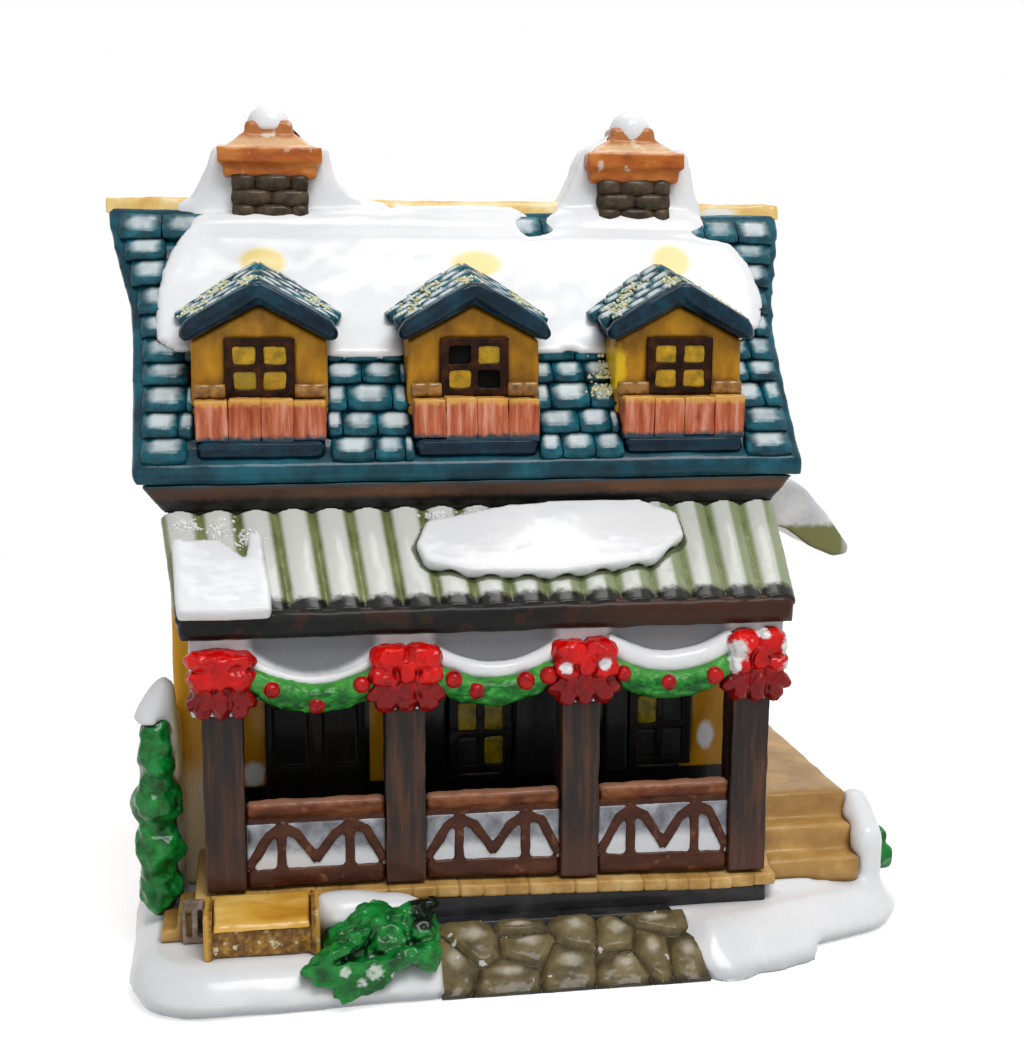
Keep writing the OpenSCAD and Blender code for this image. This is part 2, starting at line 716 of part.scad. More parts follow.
module gable(i) translate([dormer_x(i), 0, 0]) facing(-gable_y, gable_y) polygon([[0, under_gable_z],
    [dormer_w / 2, cheek_z], [gable_reach, cheek_z + 0.7 * gable_t], [0, under_gable_z + gable_t],
    [-gable_reach, cheek_z + 0.7 * gable_t], [-dormer_w / 2, cheek_z]]);

module window_opening(i) block([dormer_x(i) - window_w / 2 + opening_in, -dormer_y, sill_z + opening_in],
    [dormer_x(i) + window_w / 2 - opening_in, -attic_half, sill_z + window_h - opening_in]);

module dormer(i) color("goldenrod") at_house() difference() {
    dormer_body(i);
    roof_solid();
    window_opening(i);
}

module dormer_roof(i) color("teal") at_house() difference() {
    gable(i);
    roof_solid();
}

module dormer_window(i) color("olive") at_house() translate([dormer_x(i), 0, sill_z]) {
    facing(-dormer_y - frame_t, frame_t) cross_frame(window_w, window_h);
    facing(-dormer_y, pane_t) difference() {
        translate([-window_w / 2 + opening_in, opening_in])
            square([window_w - 2 * opening_in, window_h - 2 * opening_in]);
        if (i == 1) for (s = [0, 1]) translate([(0.5 * s - 0.35) * window_w, (0.6 - 0.4 * s) * window_h])
            square([0.2 * window_w, 0.2 * window_h]);
    }
}

module balcony(i) color("sienna") at_house() difference() {
    translate([dormer_x(i), 0, 0]) {
        block([-balcony_w / 2, -balcony_y, balcony_z], [balcony_w / 2, -dormer_y, sill_z]);
        block([-balcony_w / 2, -balcony_y + lip_in, balcony_z - balcony_lip],
            [balcony_w / 2, -dormer_y, balcony_z]);
        for (s = [-1, 1]) translate([s * (balcony_w + window_w) / 4, 0, 0])
            block([(window_w - balcony_w) / 4 + groove, -dormer_y - ledge_d, sill_z],
                [(balcony_w - window_w) / 4 - groove, -dormer_y, sill_z + ledge_h]);
    }
    for (k = [1 : 3]) translate([dormer_x(i) + (k / 4 - 0.5) * balcony_w, 0, 0])
        block([-groove / 2, -balcony_y - run, balcony_z], [groove / 2, -balcony_y + groove, sill_z + run]);
    dormer_body(i);
    roof_solid();
}

// Chimneys with hipped caps, and the snow around and on them
cap_over = 1.75;
hip_h = 3;
heap_rise = 1.5;
heap_front = -2.2;
heap_back = 5.6;
stack_z = top_z + stack_h;
cap_z = stack_z + cap_h;
cap_d = stack_d + 2 * cap_over;
heap_shares = [[-0.74, 0], [-0.56, 0.2], [-0.55, 0.5], [-0.43, 0.66], [-0.22, 0.9], [0.22, 0.9],
    [0.47, 0.66], [0.6, 0.5], [0.62, 0.2], [0.8, 0.05], [1.2, 0]];

module stack(i) block([chimney_x(i) - stack_w / 2, -stack_d / 2, top_z - stack_h],
    [chimney_x(i) + stack_w / 2, stack_d / 2, stack_z]);

module chimney(i) color("dimgray") at_house() difference() {
    stack(i);
    roof_solid();
}

module cap_solid(i) translate([chimney_x(i), 0, 0]) hull() {
    block([-cap_w / 2, -cap_d / 2, stack_z], [cap_w / 2, cap_d / 2, cap_z]);
    block([-0.21 * cap_w, -0.22 * cap_d, cap_z], [0.21 * cap_w, 0.22 * cap_d, cap_z + hip_h]);
}

module chimney_cap(i) color("peru") at_house() cap_solid(i);

module chimney_snow() color("white") at_house() difference() {
    for (i = [0, 1]) translate([chimney_x(i), 0, 0]) {
        facing(heap_front, heap_back - heap_front) translate([0, top_z])
            polygon([for (p = heap_shares) [p[0] * cap_w, p[1] * (cap_z + hip_h + heap_rise - top_z)]]);
        translate([0, 0, cap_z + hip_h + 0.15 * ball_r]) sphere(r = ball_r);
    }
    for (i = [0, 1]) {
        cap_solid(i);
        stack(i);
    }
    along_x(ridge_w) ridge_shape();
    roof_solid();
}

// Awning over the side door, seen edge on from the front
awning_out = 18.5;
awning_len = 20;
awning_y = -19;
awning_drop = 4.4;
awning_shares = [[0, 0], [0, 0.36], [0.43, 0.34], [0.58, 0.24], [0.82, -0.04], [1, -0.29], [0.99, -0.36],
    [0.86, -0.39], [0.62, -0.28], [0.4, -0.12]];

module side_awning() color("olivedrab") at_house() difference() {
    translate([wall_w / 2, 0, porch_top_z - awning_drop])
        facing(awning_y, awning_len) polygon(awning_out * awning_shares);
    cove();
}

// Bows on the frieze over the posts, and garlands with berries between them
bow_t = 1.8;
knot_r = 1.25;
swag_gap = 0.5;
bow_z = frieze_z - 0.55 * bow_h;
swag_w = post_pitch - bow_w - 2 * swag_gap;
swag_r = swag_w * swag_w / (8 * garland_sag) + garland_sag / 2;
swag_a = asin(swag_w / 2 / swag_r);
swag_z = bow_z + 0.15 * bow_h + swag_r - garland_sag;
swag_y = frieze_y - 0.55 * garland_r;
loop_shares = [[0, 0.08], [0.5, -0.02], [0.5, 0.42], [0.3, 0.48], [0, 0.36]];
tail_shares = [[0, 0.14], [0.5, -0.24], [0.3, -0.36], [0.18, -0.5], [0, -0.4]];

module bow_shape() {
    for (s = [-1, 1], shares = [loop_shares, tail_shares])
        polygon([for (p = shares) [s * p[0] * bow_w, p[1] * bow_h]]);
    translate([0, 0.12 * bow_h]) circle(r = knot_r);
}

module bows() color("red") at_house() for (i = [0 : 3])
    translate([post_x(i), 0, bow_z]) facing(frieze_y - bow_t, bow_t) bow_shape();

module garlands() color("green") at_house() for (i = [0 : 2])
    translate([(post_x(i) + post_x(i + 1)) / 2, 0, swag_z]) {
        difference() {
            translate([0, swag_y, 0]) rotate([90, 0, 0]) rotate(-90 - swag_a)
                rotate_extrude(angle = 2 * swag_a) translate([swag_r, 0]) circle(r = garland_r, $fn = 20);
            block([-far, frieze_y, -far], [far, far, far]);
            for (s = [-1, 1]) translate([s * post_pitch / 2, 0, 0])
                block([-bow_w / 2 - seat_gap, -far, -far], [bow_w / 2 + seat_gap, far, far]);
        }
        for (k = [-1 : 1]) translate([swag_r * sin(0.62 * k * swag_a), swag_y - garland_r,
            -swag_r * cos(0.62 * k * swag_a)]) sphere(r = berry_r, $fn = 16);
    }

// Tea light: a rimmed cup with a cell pocket, a board, and a lens on top
cell_lift = 2.2;
door_plate = 1.2;
door_lap = 1.5;
board_gap = 1;
board_t = 1;
cup_wall = 1;
led_r = 1.5;
lens_r = 7;
lens_h = 17;
lens_wall = 1.2;
knob_x = 15;
knob_w = 2.4;
knob_d = 4;
knob_out = 0.3;
screw_r = 1.9;
contact_w = 8;
contact_d = 3;
case_top_z = rim_z + light_h;
cell_z = rim_z + cell_lift;
board_z = cell_z + cell_t + board_gap;
door_r = cell_d / 2 + door_lap;
slot_w = knob_w + switch_travel + 2 * seat_gap;
slot_d = knob_d + 2 * seat_gap;
board_r = light_r - 2 * cup_wall - seat_gap;

module light_case() color("ivory") at_house() difference() {
    union() {
        translate([0, 0, rim_z]) cylinder(h = light_h, r = light_r, $fn = 96);
        translate([0, 0, rim_z]) cylinder(h = rim_h, r = light_r + rim_w, $fn = 96);
    }
    translate([0, 0, rim_z - run]) cylinder(h = run + cell_lift, r = door_r + seat_gap, $fn = 64);
    translate([0, 0, rim_z - run])
        cylinder(h = run + cell_lift + cell_t, r = cell_d / 2 + seat_gap, $fn = 64);
    translate([0, 0, cell_z + cell_t - film]) cylinder(h = case_top_z - cup_wall - cell_z - cell_t + film,
        r = board_r + seat_gap, $fn = 64);
    translate([0, 0, case_top_z - 2 * cup_wall]) cylinder(h = 3 * cup_wall, r = 2 * led_r, $fn = 32);
    block([knob_x - slot_w / 2, -slot_d / 2, rim_z - run], [knob_x + slot_w / 2, slot_d / 2, board_z]);
}

module light_lens() color("lightyellow") at_house() translate([0, 0, case_top_z]) rotate_extrude()
    polygon([[2 * led_r, 0], [lens_r, 0], [lens_r, 0.1 * lens_h], [0.72 * lens_r, 0.45 * lens_h],
        [0.3 * lens_r, 0.85 * lens_h], [0, lens_h], [0, lens_h - lens_wall], [0.1 * lens_r, 0.8 * lens_h],
        [0.45 * lens_r, 0.42 * lens_h], [2 * led_r, 0.1 * lens_h]]);

module light_board() color("green") at_house() difference() {
    translate([0, 0, board_z]) cylinder(h = board_t, r = board_r);
    block([knob_x - slot_w / 2 - run, -slot_d / 2 - run, board_z - run],
        [far, slot_d / 2 + run, board_z + 2 * run]);
}

module light_led() color("orange") at_house() translate([0, 0, board_z + board_t]) {
    rise = case_top_z + 2 * led_r - board_z - board_t;
    cylinder(h = rise, r = led_r, $fn = 24);
    translate([0, 0, rise]) sphere(r = led_r, $fn = 24);
}

module coin_cell() color("silver") at_house() translate([0, 0, cell_z])
    cylinder(h = cell_t, r = cell_d / 2, $fn = 64);

module cell_contact() color("gold") at_house() block([-contact_w / 2, -contact_d / 2, cell_z + cell_t],
    [contact_w / 2, contact_d / 2, board_z]);

module battery_door() color("ivory") at_house() {
    translate([0, 0, rim_z]) cylinder(h = door_plate, r = door_r, $fn = 64);
    translate([0, 0, rim_z]) cylinder(h = cell_lift - seat_gap, r = cell_d / 2, $fn = 64);
    translate([0, 0, rim_z - knob_out]) cylinder(h = 2 * knob_out, r = screw_r, $fn = 24);
}

module switch_knob() color("black") at_house() translate([knob_x - (knob_w + switch_travel) / 2, 0, 0])
    block([0, -knob_d / 2, rim_z - knob_out], [knob_w, knob_d / 2, cell_z + cell_t]);

base_ground();
snow_drifts();
bench_seat();
bench_frame();
front_shrub();
stone_ramp();
porch_deck();
left_steps();
lattice_panel();
left_hedge();
hedge_snow();
right_steps();
right_bush();
house_walls();
doors();
porch_windows();
frieze();
porch_fascia();
porch_roof();
porch_snow();
main_roof();
ridge_roll();
roof_snow();
cornice();
for (i = [0 : 3]) post(i);
for (i = [0 : 2]) railing(i);
for (i = [0 : 2]) dormer(i);
for (i = [0 : 2]) dormer_roof(i);
for (i = [0 : 2]) dormer_window(i);
for (i = [0 : 2]) balcony(i);
for (i = [0, 1]) chimney(i);
for (i = [0, 1]) chimney_cap(i);
chimney_snow();
side_awning();
bows();
garlands();
light_case();
light_lens();
light_led();
light_board();
coin_cell();
cell_contact();
battery_door();
switch_knob();
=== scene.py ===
import json
import math
import random

import bpy
import numpy as np
from mathutils import Matrix, Vector, kdtree

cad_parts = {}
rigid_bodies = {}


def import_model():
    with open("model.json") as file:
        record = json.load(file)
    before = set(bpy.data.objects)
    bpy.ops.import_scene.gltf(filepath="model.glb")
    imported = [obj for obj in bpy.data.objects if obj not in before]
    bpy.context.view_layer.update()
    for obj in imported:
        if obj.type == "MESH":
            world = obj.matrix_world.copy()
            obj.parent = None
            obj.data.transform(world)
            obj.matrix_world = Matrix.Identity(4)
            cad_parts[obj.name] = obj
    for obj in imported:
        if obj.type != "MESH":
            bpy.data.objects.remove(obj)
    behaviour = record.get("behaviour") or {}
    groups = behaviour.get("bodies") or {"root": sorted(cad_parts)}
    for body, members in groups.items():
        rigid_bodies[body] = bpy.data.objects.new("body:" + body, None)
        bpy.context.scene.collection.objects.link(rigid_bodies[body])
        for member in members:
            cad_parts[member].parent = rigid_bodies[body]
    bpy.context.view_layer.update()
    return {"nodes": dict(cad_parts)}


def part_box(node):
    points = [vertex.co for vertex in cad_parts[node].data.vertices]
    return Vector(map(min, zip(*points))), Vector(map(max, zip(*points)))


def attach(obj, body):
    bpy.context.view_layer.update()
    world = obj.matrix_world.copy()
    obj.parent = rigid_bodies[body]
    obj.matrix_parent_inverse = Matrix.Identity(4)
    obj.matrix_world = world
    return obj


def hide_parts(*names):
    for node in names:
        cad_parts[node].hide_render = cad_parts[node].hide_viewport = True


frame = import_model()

mm = 0.001
roofLow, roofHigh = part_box("main_roof")
houseMiddle = np.array([(roofLow.x + roofHigh.x) / 2, (roofLow.y + roofHigh.y) / 2, 0]) / mm
random.seed(12)

# Sizes below are millimetres from the middle of the house, z up from the table


def spot(x, y, z):  # house millimetres to the frame's metres
    return Vector((x + houseMiddle[0], y + houseMiddle[1], z)) * mm


def paint(tone):  # sRGB hex to linear light
    parts = [int(tone[i:i + 2], 16) / 255 for i in (0, 2, 4)]
    return [c / 12.92 if c <= 0.04045 else ((c + 0.055) / 1.055) ** 2.4 for c in parts] + [1]


def pick(*pieces):  # only these are selected, and the first is active
    for other in bpy.context.selected_objects:
        other.select_set(False)
    for piece in pieces:
        piece.select_set(True)
    if pieces:
        bpy.context.view_layer.objects.active = pieces[0]


def modify(piece, kind, **settings):
    modifier = piece.modifiers.new(kind, kind)
    for key, value in settings.items():
        setattr(modifier, key, value)
    pick(piece)
    bpy.ops.object.modifier_apply(modifier=modifier.name)
    return piece


def joined(name, parts):
    pick(*parts)
    if len(parts) > 1:
        bpy.ops.object.join()
    piece = bpy.context.object
    piece.name = piece.data.name = name
    piece.data.shade_smooth()
    return piece


def rawPoints(piece):
    flat = np.empty(len(piece.data.vertices) * 3)
    piece.data.vertices.foreach_get("co", flat)
    return flat.reshape(-1, 3) / mm


def housePoints(piece):
    return rawPoints(piece) - houseMiddle


def setHousePoints(piece, points):
    piece.data.vertices.foreach_set("co", ((points + houseMiddle) * mm).ravel())
    piece.data.update()


def mark(piece, name, values):  # a number at each vertex, for the paint to read
    layer = piece.data.attributes.get(name) or piece.data.attributes.new(name, "FLOAT", "POINT")
    layer.data.foreach_set("value", np.broadcast_to(np.float32(values), len(piece.data.vertices)).copy())


def rising(values, start, end):  # 0 up to the start and 1 from the end, which may lie lower
    return np.clip((values - start) / (end - start), 0, 1)


def spots(points, places):  # 1 in each oval as seen from the front, fading to 0 around it
    found = np.zeros(len(points))
    for x, z, wide, tall in places:
        off = np.hypot((points[:, 0] - x) / wide, (points[:, 2] - z) / tall)
        found = np.maximum(found, np.clip(1.5 - off, 0, 1))
    return found


def addBlock(name, low, high, bevel=0, segments=3):
    low, high = spot(*low), spot(*high)
    pick()
    bpy.ops.mesh.primitive_cube_add(size=1, location=(low + high) / 2, scale=high - low)
    bpy.ops.object.transform_apply(location=True, rotation=True, scale=True)
    block = bpy.context.object
    block.name = name
    if bevel:
        modify(block, "BEVEL", width=bevel * mm, segments=segments, limit_method="ANGLE")
    block.data.shade_smooth()
    return block


def addPillow(name, cuts, roundness):  # unit stone, brick or slate, one across
    pick()
    bpy.ops.mesh.primitive_cube_add(size=1)
    pillow = bpy.context.object
    pillow.name = name
    bpy.ops.object.mode_set(mode="EDIT")
    bpy.ops.mesh.select_all(action="SELECT")
    bpy.ops.mesh.subdivide(number_cuts=cuts)
    bpy.ops.object.mode_set(mode="OBJECT")
    modify(pillow, "CAST", factor=roundness, cast_type="SPHERE")
    heights = np.array([v.co.z for v in pillow.data.vertices])
    # crest: the pillow's top, where a finish can paint a highlight
    mark(pillow, "crest", rising(heights, 0.12, 0.42))
    pillow.data.shade_smooth()
    return pillow


def stance(centre, size, across=(1, 0, 0), along=(0, 0, 1)):  # where a unit stands: its size, x and y
    across, along = Vector(across).normalized(), Vector(along).normalized()
    out = across.cross(along).normalized()
    place = Matrix((across * size[0] * mm, along * size[1] * mm, out * size[2] * mm)).transposed().to_4x4()
    place.translation = spot(*centre)
    return place


def copied(unit, place):
    copy = bpy.data.objects.new(unit.name + "Copy", unit.data.copy())
    bpy.context.scene.collection.objects.link(copy)
    copy.data.transform(place)
    mark(copy, "tone", random.random())
    return copy


def dropped(*units):
    for unit in units:
        bpy.data.objects.remove(unit)


def softened(piece, voxel, passes, wobble=0, wobbleSize=8):  # melts a shape like poured slip
    modify(piece, "REMESH", mode="VOXEL", voxel_size=voxel * mm)
    modify(piece, "SMOOTH", factor=0.5, iterations=passes)
    if wobble:
        roughen(piece, wobble, wobbleSize)
    piece.data.shade_smooth()
    return piece


def roughen(piece, height, size, kind="CLOUDS"):
    pattern = bpy.data.textures.new(piece.name + kind, kind)
    pattern.noise_scale = size * mm
    modify(piece, "DISPLACE", texture=pattern, strength=height * mm, mid_level=0.5)
    return piece


def weathered(piece, levels, height=0, size=8):  # cut finer, then made uneven
    modify(piece, "SUBSURF", levels=levels, render_levels=levels, subdivision_type="SIMPLE")
    return roughen(piece, height, size) if height else piece


def addSlab(name, corners, rise):  # flat many-sided slab in x and y
    pick()
    bpy.ops.mesh.primitive_circle_add(vertices=len(corners), radius=1, fill_type="NGON")
    slab = bpy.context.object
    slab.name = name
    flat = np.array([(x, y, 0) for x, y in corners], float)
    slab.data.vertices.foreach_set("co", (flat * mm).ravel())
    slab.data.update()
    bpy.ops.object.mode_set(mode="EDIT")
    bpy.ops.mesh.select_all(action="SELECT")
    bpy.ops.mesh.normals_make_consistent(inside=False)
    bpy.ops.mesh.extrude_region_move(TRANSFORM_OT_translate={"value": (0, 0, rise * mm)})
    bpy.ops.mesh.select_all(action="SELECT")
    bpy.ops.mesh.normals_make_consistent(inside=False)
    bpy.ops.object.mode_set(mode="OBJECT")
    return slab


def layOnSlope(piece, foot, climb, sink=0):  # foot: y and z where the flat drawing starts
    across, up, out = rawPoints(piece).T
    along, rise = math.cos(climb), math.sin(climb)
    laid = np.stack([across, foot[0] + up * along, foot[1] + up * rise], 1)
    setHousePoints(piece, laid + np.array([0, -rise, along]) * (out - sink)[:, None])


def settle(points):  # the fired house: its roof sank and its porch sags at the right
    look = dict(z=(0, 83, 92, 101.5, 115.5, 117.4, 131), by=(0, 0, -0.8, -1.4, -1.9, 0, 0), sag=1.4,
                tallest=129.1)
    points[:, 2] += np.interp(points[:, 2], look["z"], look["by"])
    share = rising(points[:, 0], -10, 35) * rising(points[:, 2], 6.5, 9.5)
    share *= rising(points[:, 2], 22, 14) * rising(points[:, 1], -44, -46)
    points[:, 2] = np.clip(points[:, 2] - look["sag"] * share, 0, look["tallest"])
    return points


# A soft copy of solids: voxel size, passes of smoothing, then how high and how wide its unevenness is
def softCopy(name, nodes, voxel, passes, wobble=0, wobbleSize=8, extra=()):
    parts = list(extra)
    for node in nodes:
        part = bpy.data.objects.new(node + "Copy", frame["nodes"][node].data.copy())
        bpy.context.scene.collection.objects.link(part)
        parts.append(part)
    piece = joined(name, parts)
    piece.data.materials.clear()
    bpy.ops.object.mode_set(mode="EDIT")
    bpy.ops.mesh.select_all(action="SELECT")
    bpy.ops.mesh.remove_doubles(threshold=1e-6)
    bpy.ops.object.mode_set(mode="OBJECT")
    return softened(piece, voxel, passes, wobble, wobbleSize)


dressed = []


def dress(piece, material, slot, *nodes):
    dressed.append(piece)
    piece.data.materials.clear()
    piece.data.materials.append(material)
    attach(piece, "house")
    if nodes:
        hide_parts(*nodes)


def addNode(tree, kind, inputs=None, **settings):
    node = tree.nodes.new(kind)
    for key, value in settings.items():
        setattr(node, key, value)
    for key, value in (inputs or {}).items():
        if isinstance(value, bpy.types.NodeSocket):
            tree.links.new(value, node.inputs[key])
        else:
            node.inputs[key].default_value = value
    return node


def glazeFinish(name, tones, patch, streak=(1, 1, 1), bump=(1.5, 0.06), roughness=0.35, coat=0.6, shine=0.16,
                ragSize=1.2, metallic=0, layers=()):
    # Brushed underglaze colour in three mottled tones, then painted layers, under a clear glaze.
    # A layer lies where a recess, a coordinate, a mark or random spots go from low to high.
    material = bpy.data.materials.new(name)
    material.use_nodes = True
    tree = material.node_tree
    tree.nodes.clear()
    place = addNode(tree, "ShaderNodeTexCoord").outputs["Object"]
    drawn = addNode(tree, "ShaderNodeMapping", {"Vector": place, "Scale": streak}).outputs[0]
    mottle = addNode(tree, "ShaderNodeTexNoise", {"Vector": drawn, "Scale": 1 / (patch * mm), "Detail": 4,
                                                  "Roughness": 0.6}).outputs[0]
    ramp = addNode(tree, "ShaderNodeValToRGB", {0: mottle})
    ramp.color_ramp.elements.new(0.5)
    for stop, position, tone in zip(ramp.color_ramp.elements, (0.34, 0.5, 0.66), tones):
        stop.position, stop.color = position, paint(tone)
    colour = ramp.outputs[0]
    ragged = addNode(tree, "ShaderNodeTexNoise", {"Vector": place, "Scale": 1 / (ragSize * mm), "Detail": 3})
    for layer in layers:
        unit, start = 1, 0
        if "axis" in layer:
            parts = addNode(tree, "ShaderNodeSeparateXYZ", {0: place})
            value, unit, start = parts.outputs[layer["axis"]], mm, houseMiddle[layer["axis"]]
        elif "mark" in layer:
            value = addNode(tree, "ShaderNodeAttribute", attribute_name=layer["mark"]).outputs["Fac"]
        elif "spots" in layer:
            value = addNode(tree, "ShaderNodeTexNoise", {"Vector": place, "Scale": 1 / (layer["spots"] * mm),
                                                         "Detail": 2}).outputs[0]
        else:
            # A recess layer is painted shade: ambient occlusion darkens hollows and the places between parts
            value = addNode(tree, "ShaderNodeAmbientOcclusion", {"Distance": layer["recess"] * mm}, samples=8)
            value = value.outputs["AO"]
        rag = layer.get("rag", 0)
        if rag:
            value = addNode(tree, "ShaderNodeMath", {0: ragged.outputs[0], 1: 2 * rag * unit, 2: value},
                            operation="MULTIPLY_ADD").outputs[0]
        low, high = ((end + start + rag) * unit for end in (layer.get("low", 0.8), layer.get("high", 0.3)))
        most = layer.get("strength", 1)
        share = addNode(tree, "ShaderNodeMapRange", {0: value, 1: low, 2: high, 3: 0, 4: most},
                        interpolation_type="SMOOTHSTEP").outputs[0]
        colour = addNode(tree, "ShaderNodeMix", {0: share, 6: colour, 7: paint(layer["tone"])},
                         data_type="RGBA").outputs[2]
    ripple = addNode(tree, "ShaderNodeTexNoise", {"Vector": drawn, "Scale": 1 / (bump[0] * mm), "Detail": 3})
    uneven = addNode(tree, "ShaderNodeBump", {"Height": ripple.outputs[0], "Strength": 1,
                                              "Distance": bump[1] * mm})
    gloss = addNode(tree, "ShaderNodeBsdfPrincipled", {
        "Base Color": colour, "Roughness": roughness, "Coat Weight": coat * 0.6, "Coat Roughness": 0.12,
        "Specular IOR Level": shine, "Normal": uneven.outputs[0], "Metallic": metallic})
    addNode(tree, "ShaderNodeOutputMaterial", {0: gloss.outputs[0]})
    return material


# White glaze laid thick: bright and wet, with painted shade grey in its dips and towards its foot, yellow
# painted light where the dormers' light falls, and yellow on the hedge's snow
snowGlaze = glazeFinish(
    "whiteSnowGlaze", ("EEF0F3", "F4F5F7", "FAFAFB"), patch=14, bump=(3, 0.12), roughness=0.3, coat=0.7,
    layers=[dict(recess=3, low=0.75, high=0.25, tone="A9AFB8", strength=0.7),
            dict(axis=2, low=2.6, high=0, rag=0.4, tone="A4A8AE", strength=0.6),
            dict(mark="tint", low=0.25, high=0.75, tone="F6DC84")])

print("snow base")
groundLook = dict(rimRadius=21.1, rimHeight=2.35, holeRadius=19.2, lumps=[  # centre, size, way up
    ((-20.5, -51.2, 9.6), (12, 6, 6), (0, 0.3, 1)), ((-15, -51.2, 9.4), (8, 5, 5), (0, 0.3, 1)),
    ((33.6, -55, 2.4), (8.6, 12, 4), (0, 0.85, 0.52)), ((39, -54.2, 2.3), (10.4, 9.8, 4.1), (0, 0.85, 0.52)),
    ((43.6, -53, 2.2), (9, 9, 3.9), (0, 0.85, 0.52))])
lump = addPillow("snowLump", 6, 0.9)
lumps = [copied(lump, stance(at, size, (1, 0, -0.1), up)) for at, size, up in groundLook["lumps"]]
dropped(lump)
snowBase = softCopy("snowBase", ["base_ground", "snow_drifts", "hedge_snow"], 0.8, 8, 0.5, 14, lumps)
points = housePoints(snowBase)
flank = rising(points[:, 0], -50, -54) * rising(points[:, 2], 5, 0) * rising(points[:, 1], -30, -40)
points[:, 0] += 1.5 * flank
onHedge = rising(points[:, 0], -48.5, -46) * (points[:, 2] > 20) * (points[:, 0] < -40)
mark(snowBase, "tint", onHedge * 0.6)
reach = np.hypot(points[:, 0], points[:, 1])  # the tea light's hole stays clear and round
inRim = (reach < groundLook["rimRadius"] + 0.5) & (points[:, 2] < groundLook["rimHeight"])
clear = np.where(inRim, groundLook["rimRadius"], groundLook["holeRadius"])
inHole = (reach < clear) & (reach > 1)
points[inHole, :2] *= (clear[inHole] / reach[inHole])[:, None]
points[:, 2] = np.maximum(points[:, 2], 0)
setHousePoints(snowBase, points)
dress(snowBase, snowGlaze, "snow_glaze", "base_ground", "snow_drifts", "hedge_snow")

print("stone ramp")
rampLook = dict(foot=(-60.6, 0.6), top=(-50.7, 6.7), thick=2.6, joint=0.85, depth=0.95, crown=0.4,
                underside=0.03)
stonesLook = [  # each stone's corners: x, and share of the way up
    [(-8, .78), (-4.5, .8), (-1, .78), (0, .61), (-.5, .41), (-2.1, .26), (-3.8, .27), (-6.2, .49),
     (-7.5, .63)],
    [(-.1, .8), (6.3, .84), (6.7, .65), (3.2, .61), (0, .65)],
    [(.1, .61), (3.1, .57), (7, .61), (8.1, .56), (7.3, .38), (5.6, .17), (3.3, .24), (.6, .4)],
    [(8.3, .71), (9.5, .8), (11.7, .83), (14.9, .82), (14.8, .58), (14.1, .34), (11.1, .39), (8.9, .53)],
    [(15.3, .8), (17.9, .8), (20.3, .61), (20.4, .49), (19.6, .34), (16.9, .3), (14.4, .34)],
    [(18.4, .82), (21.2, .82), (26.6, .8), (27.4, .6), (27.3, .48), (25, .52), (21, .63)],
    [(-9, .36), (-8.1, .62), (-6.8, .52), (-3.9, .25), (-3.7, .17), (-5, -.08), (-8.2, -.11), (-8.9, .12)],
    [(-3.4, .15), (-.1, .26), (2.7, .23), (5.1, .14), (4.9, -.11), (1.7, -.12), (-4.6, -.11)],
    [(6.1, .16), (8.2, .43), (10.8, .36), (13.8, .31), (13.7, .14), (13, -.11), (8.9, -.12), (5.4, -.11)],
    [(14.4, .3), (19.5, .28), (20.4, .12), (21.2, -.04), (19.1, -.11), (13.4, -.11)],
    [(20.8, .57), (25.2, .46), (24.9, .22), (24.5, -.06), (21.6, -.04), (20.8, .14), (20, .31)],
    [(25.7, .43), (27.6, .47), (29.2, .38), (29.8, .14), (29.8, -.05), (27.2, -.08), (25, -.06)]]
# Brown stones with a painted highlight pale on their tops, dark joints, darker towards the foot, and white
# specks
cobbleGlaze = glazeFinish(
    "paintedHighlightStoneGlaze", ("544932", "706342", "867852"), patch=3.5, bump=(1.2, 0.08), roughness=0.3,
    coat=0.35, shine=0.1,
    layers=[dict(mark="crest", low=0.35, high=1.15, rag=0.3, tone="D8D2BE", strength=0.7),
            dict(mark="joint", low=0.1, high=0.8, tone="3A321F", strength=0.9),
            dict(axis=2, low=1.5, high=0.2, rag=0.4, tone="241F14", strength=0.9),
            dict(spots=2.2, low=0.69, high=0.72, tone="E9E9E4", strength=0.8)])
rampLong = math.dist(rampLook["foot"], rampLook["top"])
rampClimb = math.asin((rampLook["top"][1] - rampLook["foot"][1]) / rampLong)


def outsideBy(points, corners):  # distance from a flat outline, negative inside it
    nearest, inside = np.full(len(points), np.inf), np.zeros(len(points), bool)
    for start, end in zip(corners, np.roll(corners, -1, axis=0)):
        run = end - start
        share = np.clip((points - start) @ run / (run @ run), 0, 1)[:, None]
        nearest = np.minimum(nearest, np.linalg.norm(points - start - share * run, axis=1))
        crossed = (start[1] > points[:, 1]) != (end[1] > points[:, 1])
        if run[1]:
            inside ^= crossed & (points[:, 0] < start[0] + (points[:, 1] - start[1]) * run[0] / run[1])
    return np.where(inside, -nearest, nearest)


corners = [(-9.3, -0.4), (30.2, -0.4), (28.6, rampLong + 0.5), (-9.3, rampLong + 0.5)]
flagstones = addSlab("flagstones", corners, rampLook["thick"])
softened(flagstones, 0.2, 2)
raw = rawPoints(flagstones)
outlines = [np.array([(x, (share + 0.12) / 0.92 * rampLong) for x, share in stone]) for stone in stonesLook]
offs = np.array([outsideBy(raw[:, :2], outline) for outline in outlines])
nearest = offs.argmin(0)
ranked = np.sort(offs, axis=0)
fromJoint = (ranked[1] - ranked[0]) / 2
middles = np.array([outline.mean(0) for outline in outlines])[nearest]
halves = np.array([np.ptp(outline, axis=0) / 2 for outline in outlines])[nearest]
away = (raw[:, :2] - middles) / halves
onTop = raw[:, 2] > rampLook["thick"] / 2
lift = rampLook["depth"] * (np.clip(fromJoint / rampLook["joint"], 0, 1) ** 0.6 - 0.65)
